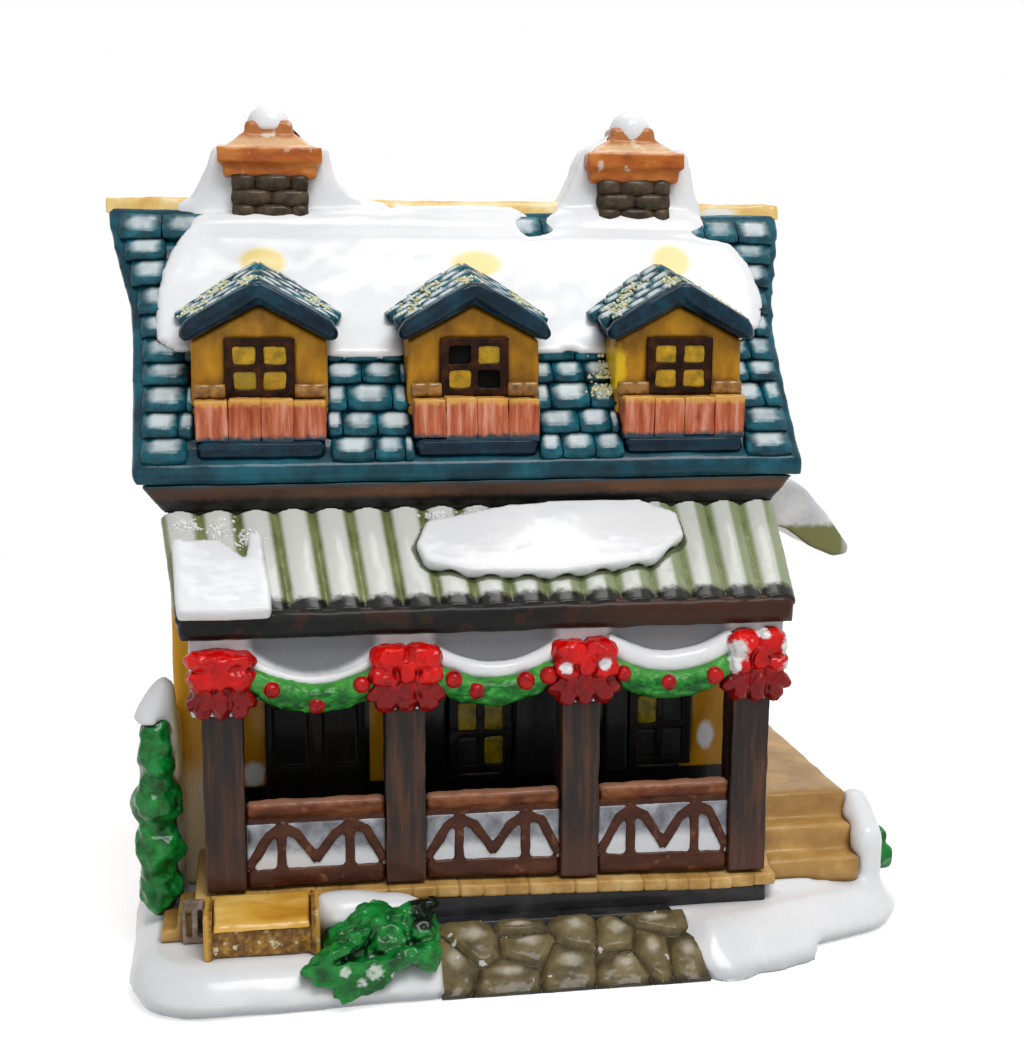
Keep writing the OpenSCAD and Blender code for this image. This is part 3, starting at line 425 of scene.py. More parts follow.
lift += rampLook["crown"] * np.clip(1 - 0.8 * (away ** 2).sum(1), 0, 1)
raw[:, 2] += lift * onTop
flagstones.data.vertices.foreach_set("co", (raw * mm).ravel())
mark(flagstones, "joint", rising(fromJoint, 0.3, 0) * onTop)
# Painted highlight on the upper middle of each stone
mark(flagstones, "crest", np.clip(1.2 - 1.7 * np.hypot(away[:, 1] - 0.3, away[:, 0] * 0.8), 0, 1) * onTop)
layOnSlope(flagstones, rampLook["foot"], rampClimb, rampLook["thick"])
roughen(flagstones, 0.25, 2.5)
points = housePoints(flagstones)
points[~onTop, 2] = rampLook["underside"]  # solid down to the table
setHousePoints(flagstones, points)
dress(flagstones, cobbleGlaze, "cobble", "stone_ramp")

print("bench and shrubs")
# The bench's golden seat, streaked along its boards, with painted shade in its recesses
goldGlaze = glazeFinish(
    "goldBenchGlaze", ("C68A26", "E3AC42", "F4CC72"), patch=5, streak=(0.3, 1, 1), bump=(1.5, 0.1),
    roughness=0.3, coat=0.7,
    layers=[dict(recess=1.5, tone="7A4D14")])
# The bench's front, speckled brown, with plain golden ends
speckleGlaze = glazeFinish(
    "speckledBenchGlaze", ("5B3C12", "8A5F1F", "B88B3E"), patch=1.1, bump=(0.8, 0.1), roughness=0.4,
    coat=0.5,
    layers=[dict(axis=0, low=-26.9, high=-26.4, tone="D9A446"),
            dict(axis=0, low=-41.3, high=-41.9, tone="D9A446"),
            dict(spots=1.3, low=0.62, high=0.7, tone="D8C7A0")])
dress(softCopy("benchSeat", ["bench_seat"], 0.28, 14, 0.3, 4), goldGlaze, "gold_bench", "bench_seat")
dress(softCopy("benchFrame", ["bench_frame"], 0.28, 3, 0.2, 4), speckleGlaze, "gold_bench", "bench_frame")

# Wet leaf green, with painted shade nearly black between the leaves and over the shrub's top right leaves,
# and chips of snow
leafGlaze = glazeFinish(
    "leafGreenGlaze", ("034A18", "0A7A2B", "1A9C40"), patch=2.2, bump=(0.7, 0.12), roughness=0.24, coat=0.7,
    shine=0.08, ragSize=0.7,
    layers=[dict(recess=1.6, low=0.9, high=0.45, tone="021A0A"),
            dict(mark="dusk", low=0.2, high=0.9, rag=0.3, tone="03160A"),
            dict(mark="chips", low=0.4, high=1.0, rag=0.8, tone="DCEBDF", strength=0.9)])
bushLook = dict(  # name, depth of the leaves and their size
    left_hedge=("leftHedge", 0.8, 2.2), right_bush=("rightBush", 1.2, 2.0))
core = addPillow("bushCore", 5, 0.5)
for node, (name, height, size) in bushLook.items():
    low, high = (np.array(corner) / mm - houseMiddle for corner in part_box(node))
    wide, deep, tall = (high - low) * (0.6, 0.6, 0.93)
    bush = softCopy(name, [node], 0.28, 4, extra=[copied(core, stance((low + high) / 2, (wide, tall, deep)))])
    roughen(bush, 1.4, 4)
    roughen(bush, height, size, "VORONOI")
    modify(bush, "SMOOTH", factor=0.5, iterations=7)
    dress(bush, leafGlaze, "pine_green", node)
chipLook = [(-18.7, 6.0, 1.3, 1.3), (-23.0, 6.4, 0.9, 0.9), (-20.6, 4.6, 0.8, 0.8), (-16, 5.2, 0.7, 0.7)]
shrubLook = dict(front=-62.9, leaves=[  # x, y, z, length, width, lean in degrees
    (-11.6, -51.6, 10.9, 4.6, 2.0, 8), (-14.6, -54.0, 9.7, 6, 4.0, 35), (-17.2, -55.0, 9.0, 6, 3.8, 40),
    (-19.8, -56.0, 8.8, 6, 3.8, 40), (-22.3, -58.0, 8.6, 5.5, 3.4, 35), (-24.8, -60.0, 7.9, 5, 3, 25),
    (-26.6, -61.0, 6.6, 4, 2.4, 15), (-12.0, -57.0, 8.0, 4.6, 5, 70), (-11.0, -60.0, 6.9, 3.2, 4.4, 80),
    (-15.2, -60.4, 6.9, 5, 3.6, 20), (-18.6, -61.2, 6.2, 5.4, 3.6, 10), (-22.4, -61.4, 6.2, 5, 3.2, 10),
    (-25.0, -61.6, 5.0, 3.6, 2.4, 0), (-21.6, -62.0, 4.0, 4.6, 2.8, 20), (-18.9, -62.0, 4.3, 4.2, 2.8, 30),
    (-21.9, -62.0, 2.9, 3, 1.8, 30)])
leaf = addPillow("leafUnit", 5, 0.85)
leaves = []
for x, y, z, long, wide, lean in shrubLook["leaves"]:
    tilt = math.radians(lean)
    across, along = (math.cos(tilt), 0, math.sin(tilt)), (-math.sin(tilt), 0.35, math.cos(tilt))
    leaves.append(copied(leaf, stance((x, y - 0.7, z), (long * 1.1, wide * 0.66, 3.2), across, along)))
dropped(core, leaf)
shrub = softCopy("frontShrub", ["front_shrub"], 0.25, 1, extra=leaves)
roughen(shrub, 0.8, 1.3, "VORONOI")
modify(shrub, "SMOOTH", factor=0.5, iterations=2)
points = housePoints(shrub)
points[:, 1] = np.maximum(points[:, 1], shrubLook["front"])
setHousePoints(shrub, points)
# Painted shade darkens the shrub's top right leaves
mark(shrub, "dusk", rising(points[:, 0], -14, -12.5) * rising(points[:, 2], 9.6, 10.4))
mark(shrub, "chips", spots(points, chipLook))
dress(shrub, leafGlaze, "pine_green", "front_shrub")

print("deck and steps")
deckLook = dict(planks=25, left=-43.8, right=43.8, front=-49.6, back=-29.9, top=13, board=2.8, plinthIn=1.3,
                overlap=0.03)
# Tan deck boards, darker in their seams, with painted shade in their recesses
tanGlaze = glazeFinish(
    "tanDeckGlaze", ("AB8444", "C99C57", "DDB777"), patch=4, streak=(1, 0.3, 1), bump=(0.9, 0.05),
    roughness=0.4, coat=0.5,
    layers=[dict(recess=0.7, low=0.7, high=0.3, tone="8A6430", strength=0.7),
            dict(mark="seam", low=0.1, high=0.8, tone="8A6430", strength=0.6)])
# Charcoal plinth as painted shade under the deck, with rusty smudges
plinthGlaze = glazeFinish(
    "charcoalGlaze", ("1B1A1B", "2B2A2C", "3C3A3C"), patch=5, bump=(1.5, 0.08), roughness=0.45, coat=0.4,
    layers=[dict(spots=3.5, low=0.62, high=0.72, tone="3A1614", strength=0.7)])
pitch = (deckLook["right"] - deckLook["left"]) / deckLook["planks"]
boardFoot, half = deckLook["top"] - deckLook["board"], pitch / 2 + deckLook["overlap"]
plank = addBlock("plank", (-half, deckLook["front"], boardFoot), (half, deckLook["back"], deckLook["top"]))
modify(plank, "BEVEL", width=0.22 * mm, segments=2, limit_method="ANGLE")
points = housePoints(plank)
nose = rising(points[:, 1], deckLook["front"] + 1.4, deckLook["front"])
middleZ = deckLook["top"] - deckLook["board"] / 2
points[:, 2] = middleZ + (points[:, 2] - middleZ) * (1 - 0.35 * nose)
setHousePoints(plank, points)
modify(plank, "SUBSURF", levels=1, render_levels=1)
boards = []
for i in range(deckLook["planks"]):
    board = copied(plank, Matrix.Identity(4))
    points = housePoints(board)
    points[:, 0] += deckLook["left"] + (i + 0.5) * pitch
    ends = max(0, abs(i - 12) - 10.4) * 0.35  # the outer boards are a little shorter
    points[:, 1] += np.where(points[:, 1] < deckLook["front"] + 3, random.uniform(0, 0.12) + ends, 0)
    points[:, 2] -= random.uniform(0, 0.12)
    setHousePoints(board, points)
    boards.append(board)
dropped(plank)
planks = softened(joined("deckPlanks", boards), 0.22, 3)
points = housePoints(planks)
offSeam = np.abs((points[:, 0] - deckLook["left"]) / pitch % 1 - 0.5) * 2
seam = rising(offSeam, 0.86, 0.96)
points[:, 1] += 0.25 * seam * (points[:, 1] < deckLook["front"] + 0.6)
setHousePoints(planks, points)
mark(planks, "seam", seam * np.clip(0.75 + 0.5 * np.sin(np.floor(points[:, 0] / pitch) * 2.3), 0.25, 1))
dress(planks, tanGlaze, "tan_deck", "porch_deck")
inward = deckLook["plinthIn"]
plinth = addBlock("deckPlinth", (deckLook["left"] + inward, deckLook["front"] + inward, 6.2),
                  (deckLook["right"] - inward, deckLook["back"], boardFoot + 0.3), 0.5)
toe = addBlock("toe", (-10.5, -51, 5.4), (27, -48.1, 7.2), 0.4)
plinth = weathered(joined("deckPlinth", [plinth, toe]), 2, 0.3, 5)
dress(plinth, plinthGlaze, "black_brown")

# The steps' tan, shaded softly in the corners
stepGlaze = glazeFinish(
    "softTanGlaze", ("A67D40", "BF9452", "DDB266"), patch=9, bump=(3, 0.1), roughness=0.42, coat=0.5,
    layers=[dict(recess=4, low=0.85, high=0.35, tone="7A5626", strength=0.8)])
dress(softCopy("leftSteps", ["left_steps"], 0.3, 4, 0.3, 4), stepGlaze, "tan_deck", "left_steps")
dress(softCopy("rightSteps", ["right_steps"], 0.5, 12, 0.4, 6), stepGlaze, "tan_deck", "right_steps")
# Snow-grey panel behind the railings, whiter at its foot, with painted shade round the lattice strips
greyGlaze = glazeFinish(
    "paleGreyGlaze", ("6F7179", "8E9199", "B2B5BC"), patch=3, bump=(2, 0.08), roughness=0.4, coat=0.5,
    layers=[dict(axis=2, low=19.2, high=17.2, rag=0.6, tone="E2E4E8", strength=0.95),
            dict(recess=1.0, tone="4A3A36", strength=0.8)])
# Lattice in smudged grey-brown, with painted shade in its recesses
duskGlaze = glazeFinish(
    "smudgedBrownGlaze", ("5E4A3A", "857466", "A9A19B"), patch=2.4, bump=(1, 0.1), roughness=0.4, coat=0.3,
    layers=[dict(recess=1, low=0.7, high=0.2, tone="4A3626", strength=0.7)])
dress(softCopy("latticePanel", ["lattice_panel"], 0.22, 4), duskGlaze, "rail_brown", "lattice_panel")

print("walls, doors and shop windows")
wallLook = dict(front=-30, side=47, porchY=-28.5, porchTop=62, darkTop=22.3, cornerX=-42.5,
                yellow=((-60, -33.3), (-17, -13.4), (33.8, 60)),
                snow=[(-35.1, 24.5, 1.8, 2.0), (37.7, 27.6, 1.4, 2.4)])
# Mustard walls: painted shade in their recesses, painted light golden at the left corner and pale towards its
# foot, nearly black in the porch's shade, and two pale spots, the right one a painted glint
mustardGlaze = glazeFinish(
    "mustardWallGlaze", ("A97509", "B9830E", "C78F14"), patch=7, streak=(1, 1, 0.6), bump=(2.5, 0.12),
    roughness=0.38, coat=0.35, shine=0.1,
    layers=[dict(recess=2.5, low=0.7, high=0.25, tone="5E3E0C", strength=0.75),
            dict(mark="corner", low=0.1, high=0.9, tone="F6B322"),
            dict(mark="glow", low=0.1, high=0.8, tone="FFE9BC"),
            dict(mark="shade", low=0.3, high=0.7, tone="080707"),
            dict(mark="snow", low=0.3, high=0.8, rag=0.2, tone="D9DBDF")])
walls = softCopy("houseWalls", ["house_walls"], 0.9, 3, 0.25, 9)
points = housePoints(walls)
x, y, z = points.T
inPorch = (y < wallLook["porchY"]) & (z < wallLook["porchTop"]) & (x > wallLook["cornerX"])
yellow = np.any([(x > left) & (x < right) for left, right in wallLook["yellow"]], axis=0)
overPorch = (y < wallLook["porchY"]) & (z > 60.5) & (z < 70)
mark(walls, "shade", overPorch | (inPorch & ~(yellow & (z > wallLook["darkTop"]))))
# Two pale spots on the yellow strips in the porch, the right one a painted glint
mark(walls, "snow", spots(points, wallLook["snow"]) * (inPorch & yellow))
# Painted light on the left corner's front: brighter gold, and pale towards its foot
nearFront = rising(y, -17, -26) * (x < wallLook["cornerX"])
mark(walls, "corner", nearFront * rising(z, 66, 58))
mark(walls, "glow", nearFront * rising(z, 30, 20))
dress(walls, mustardGlaze, "mustard_wall", "house_walls")

# Doors and shop windows, nearly black
darkWoodGlaze = glazeFinish(
    "blackBrownGlaze", ("080706", "0F0C0A", "1C1410"), patch=3, streak=(1, 1, 0.15), bump=(0.8, 0.1),
    roughness=0.5, coat=0.1, shine=0.1)
doorLook = dict(at=-25.5, wide=15.4, foot=13, tall=23.3, out=1.2, sideAt=-9, sideWide=10, sideFoot=19.2)


def panelledDoor(low, high, axis, side):
    door = addBlock("doorSlab", low, high)
    bpy.ops.object.mode_set(mode="EDIT")
    bpy.ops.mesh.select_all(action="DESELECT")
    bpy.ops.object.mode_set(mode="OBJECT")
    for face in door.data.polygons:
        face.select = face.normal[axis] * side > 0.9
    bpy.ops.object.mode_set(mode="EDIT")
    bpy.ops.mesh.select_mode(type="FACE")
    bpy.ops.mesh.subdivide(number_cuts=1)
    bpy.ops.mesh.inset(thickness=1.1 * mm, use_individual=True)
    bpy.ops.mesh.extrude_region_move(TRANSFORM_OT_translate={
        "value": [-0.5 * mm * side if a == axis else 0 for a in range(3)]})
    bpy.ops.mesh.inset(thickness=0.5 * mm, use_individual=True)
    bpy.ops.object.mode_set(mode="OBJECT")
    return modify(door, "BEVEL", width=0.18 * mm, segments=2, limit_method="ANGLE")


at, half, foot = doorLook["at"], doorLook["wide"] / 2, doorLook["foot"]
shopDoor = panelledDoor((at - half, wallLook["front"] - doorLook["out"], foot),
                        (at + half, wallLook["front"] + 0.4, foot + doorLook["tall"]), 1, -1)
at, half, foot = doorLook["sideAt"], doorLook["sideWide"] / 2, doorLook["sideFoot"]
sideDoor = panelledDoor((wallLook["side"] - 0.4, at - half, foot),
                        (wallLook["side"] + doorLook["out"], at + half, foot + doorLook["tall"]), 0, 1)
dress(joined("doorPanels", [shopDoor, sideDoor]), darkWoodGlaze, "black_brown", "doors")

# Dark brown window frames
frameGlaze = glazeFinish(
    "darkFrameGlaze", ("1A0C06", "2E170B", "4A2811"), patch=2, bump=(0.8, 0.08), roughness=0.34, coat=0.12,
    shine=0.06)
# Amber panes, each a little different, with painted shade at their edges
paneGlaze = glazeFinish(
    "amberPaneGlaze", ("857010", "B88E10", "D6AC22"), patch=2.2, bump=(1.5, 0.1), roughness=0.2, coat=0.5,
    shine=0.1,
    layers=[dict(recess=0.8, low=0.75, high=0.3, tone="4A3A08"),
            dict(mark="tone", low=0.6, high=1, tone="8F7F16", strength=0.6)])
# The same amber in the porch's shade
dimPaneGlaze = glazeFinish(
    "dimPaneGlaze", ("6A5E10", "9A8714", "B09A22"), patch=2.2, bump=(1.5, 0.1), roughness=0.3, coat=0.2,
    shine=0.1)
# Charcoal shutters and unlit panes, dark as painted shade inside the porch
shutterGlaze = glazeFinish(
    "charcoalShutterGlaze", ("0D0D0E", "19191B", "2A2A2D"), patch=2.5, streak=(1, 1, 0.2), bump=(1, 0.1),
    roughness=0.5, coat=0.1, shine=0.15)
# Painted shade: near black behind the dormers' pierced panes, for the dark inside the house
voidGlaze = glazeFinish(
    "darkInteriorShadeGlaze", ("040404", "070707", "0B0B0B"), patch=3, roughness=0.9, coat=0)
pane = addPillow("paneUnit", 4, 0.22)


def addWindow(x, sill, width, height, front, bar, crooked):  # bars round the edge and a cross, then its panes
    bars, panes = [], []
    half, midZ = width / 2, sill + height / 2
    runs = [(-half + bar / 2, None, bar), (half - bar / 2, None, bar), (0, None, bar * 0.85),
            (None, sill + bar / 2, bar), (None, sill + height - bar / 2, bar), (None, midZ, bar * 0.85)]
    for across, up, thick in runs:
        if up is None:
            low = (x + across - thick / 2, front - 1, sill)
            high = (x + across + thick / 2, front + 0.2, sill + height)
        else:
            low = (x - half, front - 0.95, up - thick / 2)
            high = (x + half, front + 0.2, up + thick / 2)
        bars.append(addBlock("bar", low, high))
    mesh = softened(weathered(joined("windowBars", bars), 3), 0.2, 3, crooked, 3)
    wide, tall = (width - 2.85 * bar) / 2, (height - 2.85 * bar) / 2
    for sx in (-1, 1):
        for sz in (-1, 1):
            centre = (x + sx * (wide / 2 + bar * 0.42), front - 0.1, midZ + sz * (tall / 2 + bar * 0.42))
            panes.append((sx, sz, stance(centre, (wide * 1.25, tall * 1.25, 1.3))))
    return mesh, panes


shopLook = dict(at=(0.5, 29.8), face=-30, sill=23.2, width=10.2, rise=13, bar=1.5,
                shutters=((6, 12.8), (20.6, 24.4)), lit=[[(-1, 1), (1, 1), (1, -1)], [(-1, 1)]])
bars, litPanes, darkPanes = [], [], []
for x, lit in zip(shopLook["at"], shopLook["lit"]):
    mesh, panes = addWindow(x, *(shopLook[key] for key in ("sill", "width", "rise", "face", "bar")), 0.3)
    bars.append(mesh)
    for sx, sz, place in panes:
        (litPanes if (sx, sz) in lit else darkPanes).append(copied(pane, place))
shutters = [addBlock("shutter", (x0, -31.2, 22.4), (x1, -29.8, 36.8), 0.5) for x0, x1 in shopLook["shutters"]]
dress(joined("shopWindowBars", bars), darkWoodGlaze, "black_brown", "porch_windows")
dress(joined("shopPanes", litPanes), dimPaneGlaze, "window_yellow")
dress(joined("shopShutters", [*shutters, *darkPanes]), shutterGlaze, "black_brown")

print("posts and railings")
# Black-brown posts, streaked lengthwise and redder at the foot, with painted shade in their recesses
postGlaze = glazeFinish(
    "streakedBrownGlaze", ("14100F", "2A1D18", "553522"), patch=1.5, streak=(1, 1, 0.08), bump=(0.9, 0.12),
    roughness=0.42, coat=0.25, shine=0.2,
    layers=[dict(recess=2, low=0.7, high=0.3, tone="120D0B", strength=0.7),
            dict(axis=2, low=22, high=14, rag=3, tone="5A3524", strength=0.55)])
for i in range(4):
    post = softCopy(f"porchPost{i + 1}", [f"post_{i + 1}"], 0.32, 3, 0.45, 5)
    dress(post, postGlaze, "dark_wood", f"post_{i + 1}")

railLook = dict(
    y=-48.0, deep=2.5, top=26.0, braceTop=22.1, braceFoot=16, foot=13, panelY=-47.6, panelThick=1.6,
    turns=[(0.02, 0.05), (0.16, 0.8), (0.25, 1.0), (0.36, 0.82), (0.5, 0.18), (0.63, 0.78), (0.74, 1.0),
           (0.86, 0.85), (0.98, 0.1)], uprights=(0.25, 0.74), strip=(0.7, 1.3, 1.4))
# Reddish brown rails with a painted highlight pale along the top, painted shade under the top rail and in the
# recesses, and lighter spots
railGlaze = glazeFinish(
    "railBrownGlaze", ("4A2413", "6B381D", "8C5431"), patch=2.2, streak=(0.35, 1, 1), bump=(0.8, 0.1),
    roughness=0.36, coat=0.25, shine=0.1,
    layers=[dict(recess=1.2, low=0.7, high=0.25, tone="24120A", strength=0.8),
            dict(axis=2, low=25.0, high=26.0, rag=0.4, tone="C08E74", strength=0.55),
            dict(axis=2, low=23.6, high=23.2, rag=0.2, tone="3A1E13", strength=0.7),
            dict(spots=2.6, low=0.6, high=0.7, tone="9A6240", strength=0.5)])
turns = railLook["turns"]
lines = [*zip(turns, turns[1:]), *[((share, 0), (share, 0.9)) for share in railLook["uprights"]]]
longer, stripDeep, stripTall = railLook["strip"]
for i in range(3):
    low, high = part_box(f"railing_{i + 1}")
    x0, x1 = low.x / mm - houseMiddle[0], high.x / mm - houseMiddle[0]
    y, z0, z1 = railLook["y"], railLook["braceFoot"], railLook["braceTop"]
    back = y + railLook["deep"]
    parts = [addBlock("rail", (x0, y, z1 + 1.5), (x1, back, railLook["top"]), 0.9),
             addBlock("railUnder", (x0, y + 0.6, z1), (x1, back, z1 + 2), 0.3),
             addBlock("rail", (x0, y, railLook["foot"]), (x1, back, z0), 0.8)]
    for (a, b), (c, d) in lines:
        start = Vector((x0 + a * (x1 - x0), y + 0.75, z0 + b * (z1 - z0)))
        end = Vector((x0 + c * (x1 - x0), y + 0.75, z0 + d * (z1 - z0)))
        along = end - start
        strip = addBlock("strip", (-0.5, -0.5, -0.5), (0.5, 0.5, 0.5))
        strip.data.transform(Matrix.Translation(-spot(0, 0, 0)))
        place = stance((start + end) / 2, (along.length + longer, stripDeep, stripTall), along, (0, 1, 0))
        strip.data.transform(place @ Matrix.Scale(1 / mm, 4))
        parts.append(strip)
    rail = softened(joined(f"porchRail{i + 1}", parts), 0.24, 3, 0.45, 3)
    dress(rail, railGlaze, "rail_brown", f"railing_{i + 1}")
    panel = addBlock(f"railPanel{i + 1}", (x0, railLook["panelY"], z0 - 0.6),
                     (x1, railLook["panelY"] + railLook["panelThick"], z1 + 0.6), 0.3)
    dress(weathered(panel, 4, 0.3, 3), greyGlaze, "snow_glaze")

print("frieze, bows and garlands")
swagLook = dict(pitch=26.1, bowZ=44.4, sag=3.8, tube=2.128, friezeY=-49.2, snowTube=(0.9, 1.5, 1.9), ends=9.4)
# White frieze, grey in the bays over the swags: partly grey paint, partly painted shade
friezeGlaze = glazeFinish(
    "snowyFriezeGlaze", ("D5D7DA", "E4E6E9", "F0F1F3"), patch=6, bump=(2, 0.1), roughness=0.35, coat=0.6,
    layers=[dict(mark="grey", low=0.15, high=1.0, rag=0.12, tone="6F7074", strength=0.92)])
frieze = softCopy("snowFrieze", ["frieze"], 0.4, 3, 0.3, 5)
points = housePoints(frieze)
bays = [(k - 1) * swagLook["pitch"] for k in range(3)]
nearest = np.min([np.abs(points[:, 0] - b) for b in bays], axis=0)
swagHeight = swagLook["bowZ"] + 1.6 - swagLook["sag"] * (1 - (nearest / 9.0).clip(0, 1) ** 2)
inside = rising(nearest, 10.2, 8.2) * rising(points[:, 2] - swagHeight, 2.4, 3.6) * (points[:, 1] < -47.5)
points[:, 1] += 0.7 * inside
setHousePoints(frieze, points)
mark(frieze, "grey", inside)
dress(frieze, friezeGlaze, "snow_glaze", "frieze")


def addSwag(name, x, z, sag, reach, radius, y, taper=0):  # a curve hung between two posts, made a round tube
    curve = bpy.data.curves.new(name, "CURVE")
    curve.dimensions = "3D"
    curve.bevel_depth, curve.bevel_resolution, curve.use_fill_caps = radius * mm, 5, True
    spline = curve.splines.new("NURBS")
    spline.points.add(14)
    for point, share in zip(spline.points, np.linspace(-1, 1, len(spline.points))):
        point.co = (*spot(x + reach * share, y, z - sag * (1 - share ** 2)), 1)
        point.radius = 1 - taper * abs(share) ** 3
    spline.use_endpoint_u = True
    swag = bpy.data.objects.new(name, curve)
    bpy.context.scene.collection.objects.link(swag)
    pick(swag)
    bpy.ops.object.convert(target="MESH")
    return bpy.context.object


snowSwags = [addSwag("snowSwag", b, swagLook["bowZ"] + 2.6 + tube * 0.8, swagLook["sag"] - 0.2,
                     swagLook["ends"] + 0.6, tube, swagLook["friezeY"] + 0.2 + tube * 0.3)
             for b, tube in zip(bays, swagLook["snowTube"])]
dress(softened(joined("snowSwags", snowSwags), 0.35, 6, 0.3, 4), snowGlaze, "snow_glaze")

# Garland green, with a painted highlight on top and painted shade below and in its recesses
garlandGlaze = glazeFinish(
    "garlandGreenGlaze", ("0C441A", "1B7A28", "4BAE48"), patch=1.0, streak=(0.5, 1, 1), bump=(0.6, 0.14),
    roughness=0.34, coat=0.3, shine=0.1,
    layers=[dict(recess=1, tone="0A3216"),
            dict(axis=2, low=42.6, high=44.2, rag=1, tone="5DB04E", strength=0.5),
            dict(axis=2, low=41.2, high=38.8, rag=1, tone="0B3F1B", strength=0.85)])
# Berry red, with painted shade dark where a berry meets the green
berryGlaze = glazeFinish(
    "berryRedGlaze", ("80060A", "B00C10", "D01A14"), patch=1.5, bump=(0.8, 0.04), roughness=0.26, coat=0.5,
    shine=0.05,
    layers=[dict(recess=0.7, low=0.8, high=0.35, tone="3A0406")])
garlandLook = [dict(shift=0.4, berries=((-6.0, 0.5), (0.2, -0.6), (6.6, 0.5))),
               dict(shift=-0.3, berries=((-6.3, 0.9), (-3.0, 0.2), (4.2, 1.1), (7.6, 0.3))),
               dict(shift=0, berries=((-7.4, 0.3), (-0.6, 0.6), (6.4, 0)))]
greens, berries = [], []
hungZ, sag = swagLook["bowZ"] + 0.7, swagLook["sag"] - 0.6
for b, look in zip(bays, garlandLook):
    greens.append(addSwag("garland", b + look["shift"], hungZ, sag, swagLook["ends"], swagLook["tube"],
                          swagLook["friezeY"] - 0.3, 0.25))
    for shift, up in look["berries"]:
        z = hungZ - sag * (1 - (shift / swagLook["ends"]) ** 2) + up
        pick()
        radius = random.uniform(1.15, 1.4) * mm
        bpy.ops.mesh.primitive_uv_sphere_add(segments=20, ring_count=12, radius=radius,
                                             location=spot(b + shift, swagLook["friezeY"] - 1.75, z))
        bpy.ops.object.transform_apply(location=True, rotation=True, scale=True)
        berries.append(bpy.context.object)
garlands = softened(joined("greenGarlands", greens), 0.25, 2)
roughen(garlands, 0.55, 1.2)
roughen(garlands, 0.5, 2.6)
modify(garlands, "SMOOTH", factor=0.5, iterations=1)
dress(garlands, garlandGlaze, "pine_green", "garlands")
berryPiece = joined("redBerries", berries)
roughen(berryPiece, 0.25, 0.9)
dress(berryPiece, berryGlaze, "bow_red")

bowLook = dict(
    y=-49.9, z=44.6, front=-52.7, posts=(-39.15, -13.05, 13.05, 39.15),
    grow=((0.74, 0.84), (0.92, 0.84), (0.86, 0.82), (0.8, 0.92)),
    chips=[[], [], [(-3.0, 1.0, 1.0), (2.6, 1.4, 1.1)],
           [(-3.9, 2.4, 2.0), (4.2, 3.0, 1.4), (-4.0, 0.2, 1.3), (4.6, 0, 1.2), (0.5, 5, 1.0)]],
    # Lumps: place, width, height, depth, turn in degrees
    loops=[((-2.6, 3.5), 5.2, 4.0, 4.6, -8), ((2.6, 3.5), 5.2, 4.0, 4.6, 8)],
    flatTop=[((0, 4.0), 11.4, 3.0, 4.4, 2), ((0, 1.2), 11.0, 3.2, 4.8, -2)],  # the first bow's
    tails=[((0, 1.5), 2.6, 3.6, 5.8, 0), ((-3.4, 0.5), 4.2, 3.0, 4.4, 10), ((3.4, 0.5), 4.2, 3.0, 4.4, -10),
           ((0, -2.8), 3, 5.6, 4.2, 0), ((-2.9, -2.9), 3, 5.4, 3.8, 16), ((2.9, -2.9), 3, 5.4, 3.8, -16),
           ((-4.6, -2.2), 2.2, 3.8, 3.0, 42), ((4.6, -2.2), 2.2, 3.8, 3.0, -42)])
# Bright bow red, with painted shade darker in the tails below and in the folds, and chips of snow
bowGlaze = glazeFinish(
    "bowRedGlaze", ("B20406", "DA0A06", "F21408"), patch=3, bump=(1.2, 0.12), roughness=0.2, coat=0.6,
    shine=0.05,
    layers=[dict(axis=2, low=44.8, high=43.0, rag=0.8, tone="78040A", strength=0.85),
            dict(recess=1.6, low=0.85, high=0.4, tone="4A0408", strength=0.9),
            dict(mark="chips", low=0.45, high=0.85, rag=0.7, tone="F1EFEF")])
ball = addPillow("bowLump", 5, 0.75)
bows = []
for k, (x, (wide, tall)) in enumerate(zip(bowLook["posts"], bowLook["grow"])):
    y, z = bowLook["y"], bowLook["z"]
    loops = bowLook["flatTop"] if k == 0 else bowLook["loops"]
    lumps = []
    for (dx, dz), w, h, d, turn in loops + bowLook["tails"]:
        lean = math.radians(turn)
        place = stance((x + dx * wide, y, z + dz * tall), (w * wide, h * tall, d),
                       (math.cos(lean), 0, -math.sin(lean)), (math.sin(lean), 0, math.cos(lean)))
        lumps.append(copied(ball, place))
    bow = softened(joined(f"redBow{k + 1}", lumps), 0.18, 1)
    roughen(bow, 0.6, 1.7, "VORONOI")
    roughen(bow, 0.3, 1.0)
    points = housePoints(bow)
    points[:, 1] = np.clip(points[:, 1], bowLook["front"], swagLook["friezeY"] + 0.9)
    setHousePoints(bow, points)
    mark(bow, "chips", spots(points, [(x + cx, z + cz, r, r) for cx, cz, r in bowLook["chips"][k]]))
    bows.append(bow)
dropped(ball)
for k, bow in enumerate(bows):
    dress(bow, bowGlaze, "bow_red", *(["bows"] if k == 0 else []))

print("porch roof")
# Charcoal fascia, turning rusty to the right
fasciaGlaze = glazeFinish(
    "charcoalFasciaGlaze", ("0D0E0D", "181A18", "242521"), patch=5, streak=(0.3, 1, 1), bump=(1.5, 0.12),
    roughness=0.42, coat=0.2, shine=0.1,
    layers=[dict(spots=4, low=0.58, high=0.68, tone="3E241A", strength=0.7),
            dict(axis=0, low=2, high=26, rag=5, tone="4A2A1C", strength=0.75)])
fasciaRoll = weathered(addBlock("fasciaRoll", (-44.9, -50.7, 50.9), (44.9, -47.5, 55.0), 1.5, 4), 2)
dress(softCopy("porchFascia", ["porch_fascia"], 0.4, 4, 0.5, 5, [fasciaRoll]), fasciaGlaze, "black_brown",
      "porch_fascia")

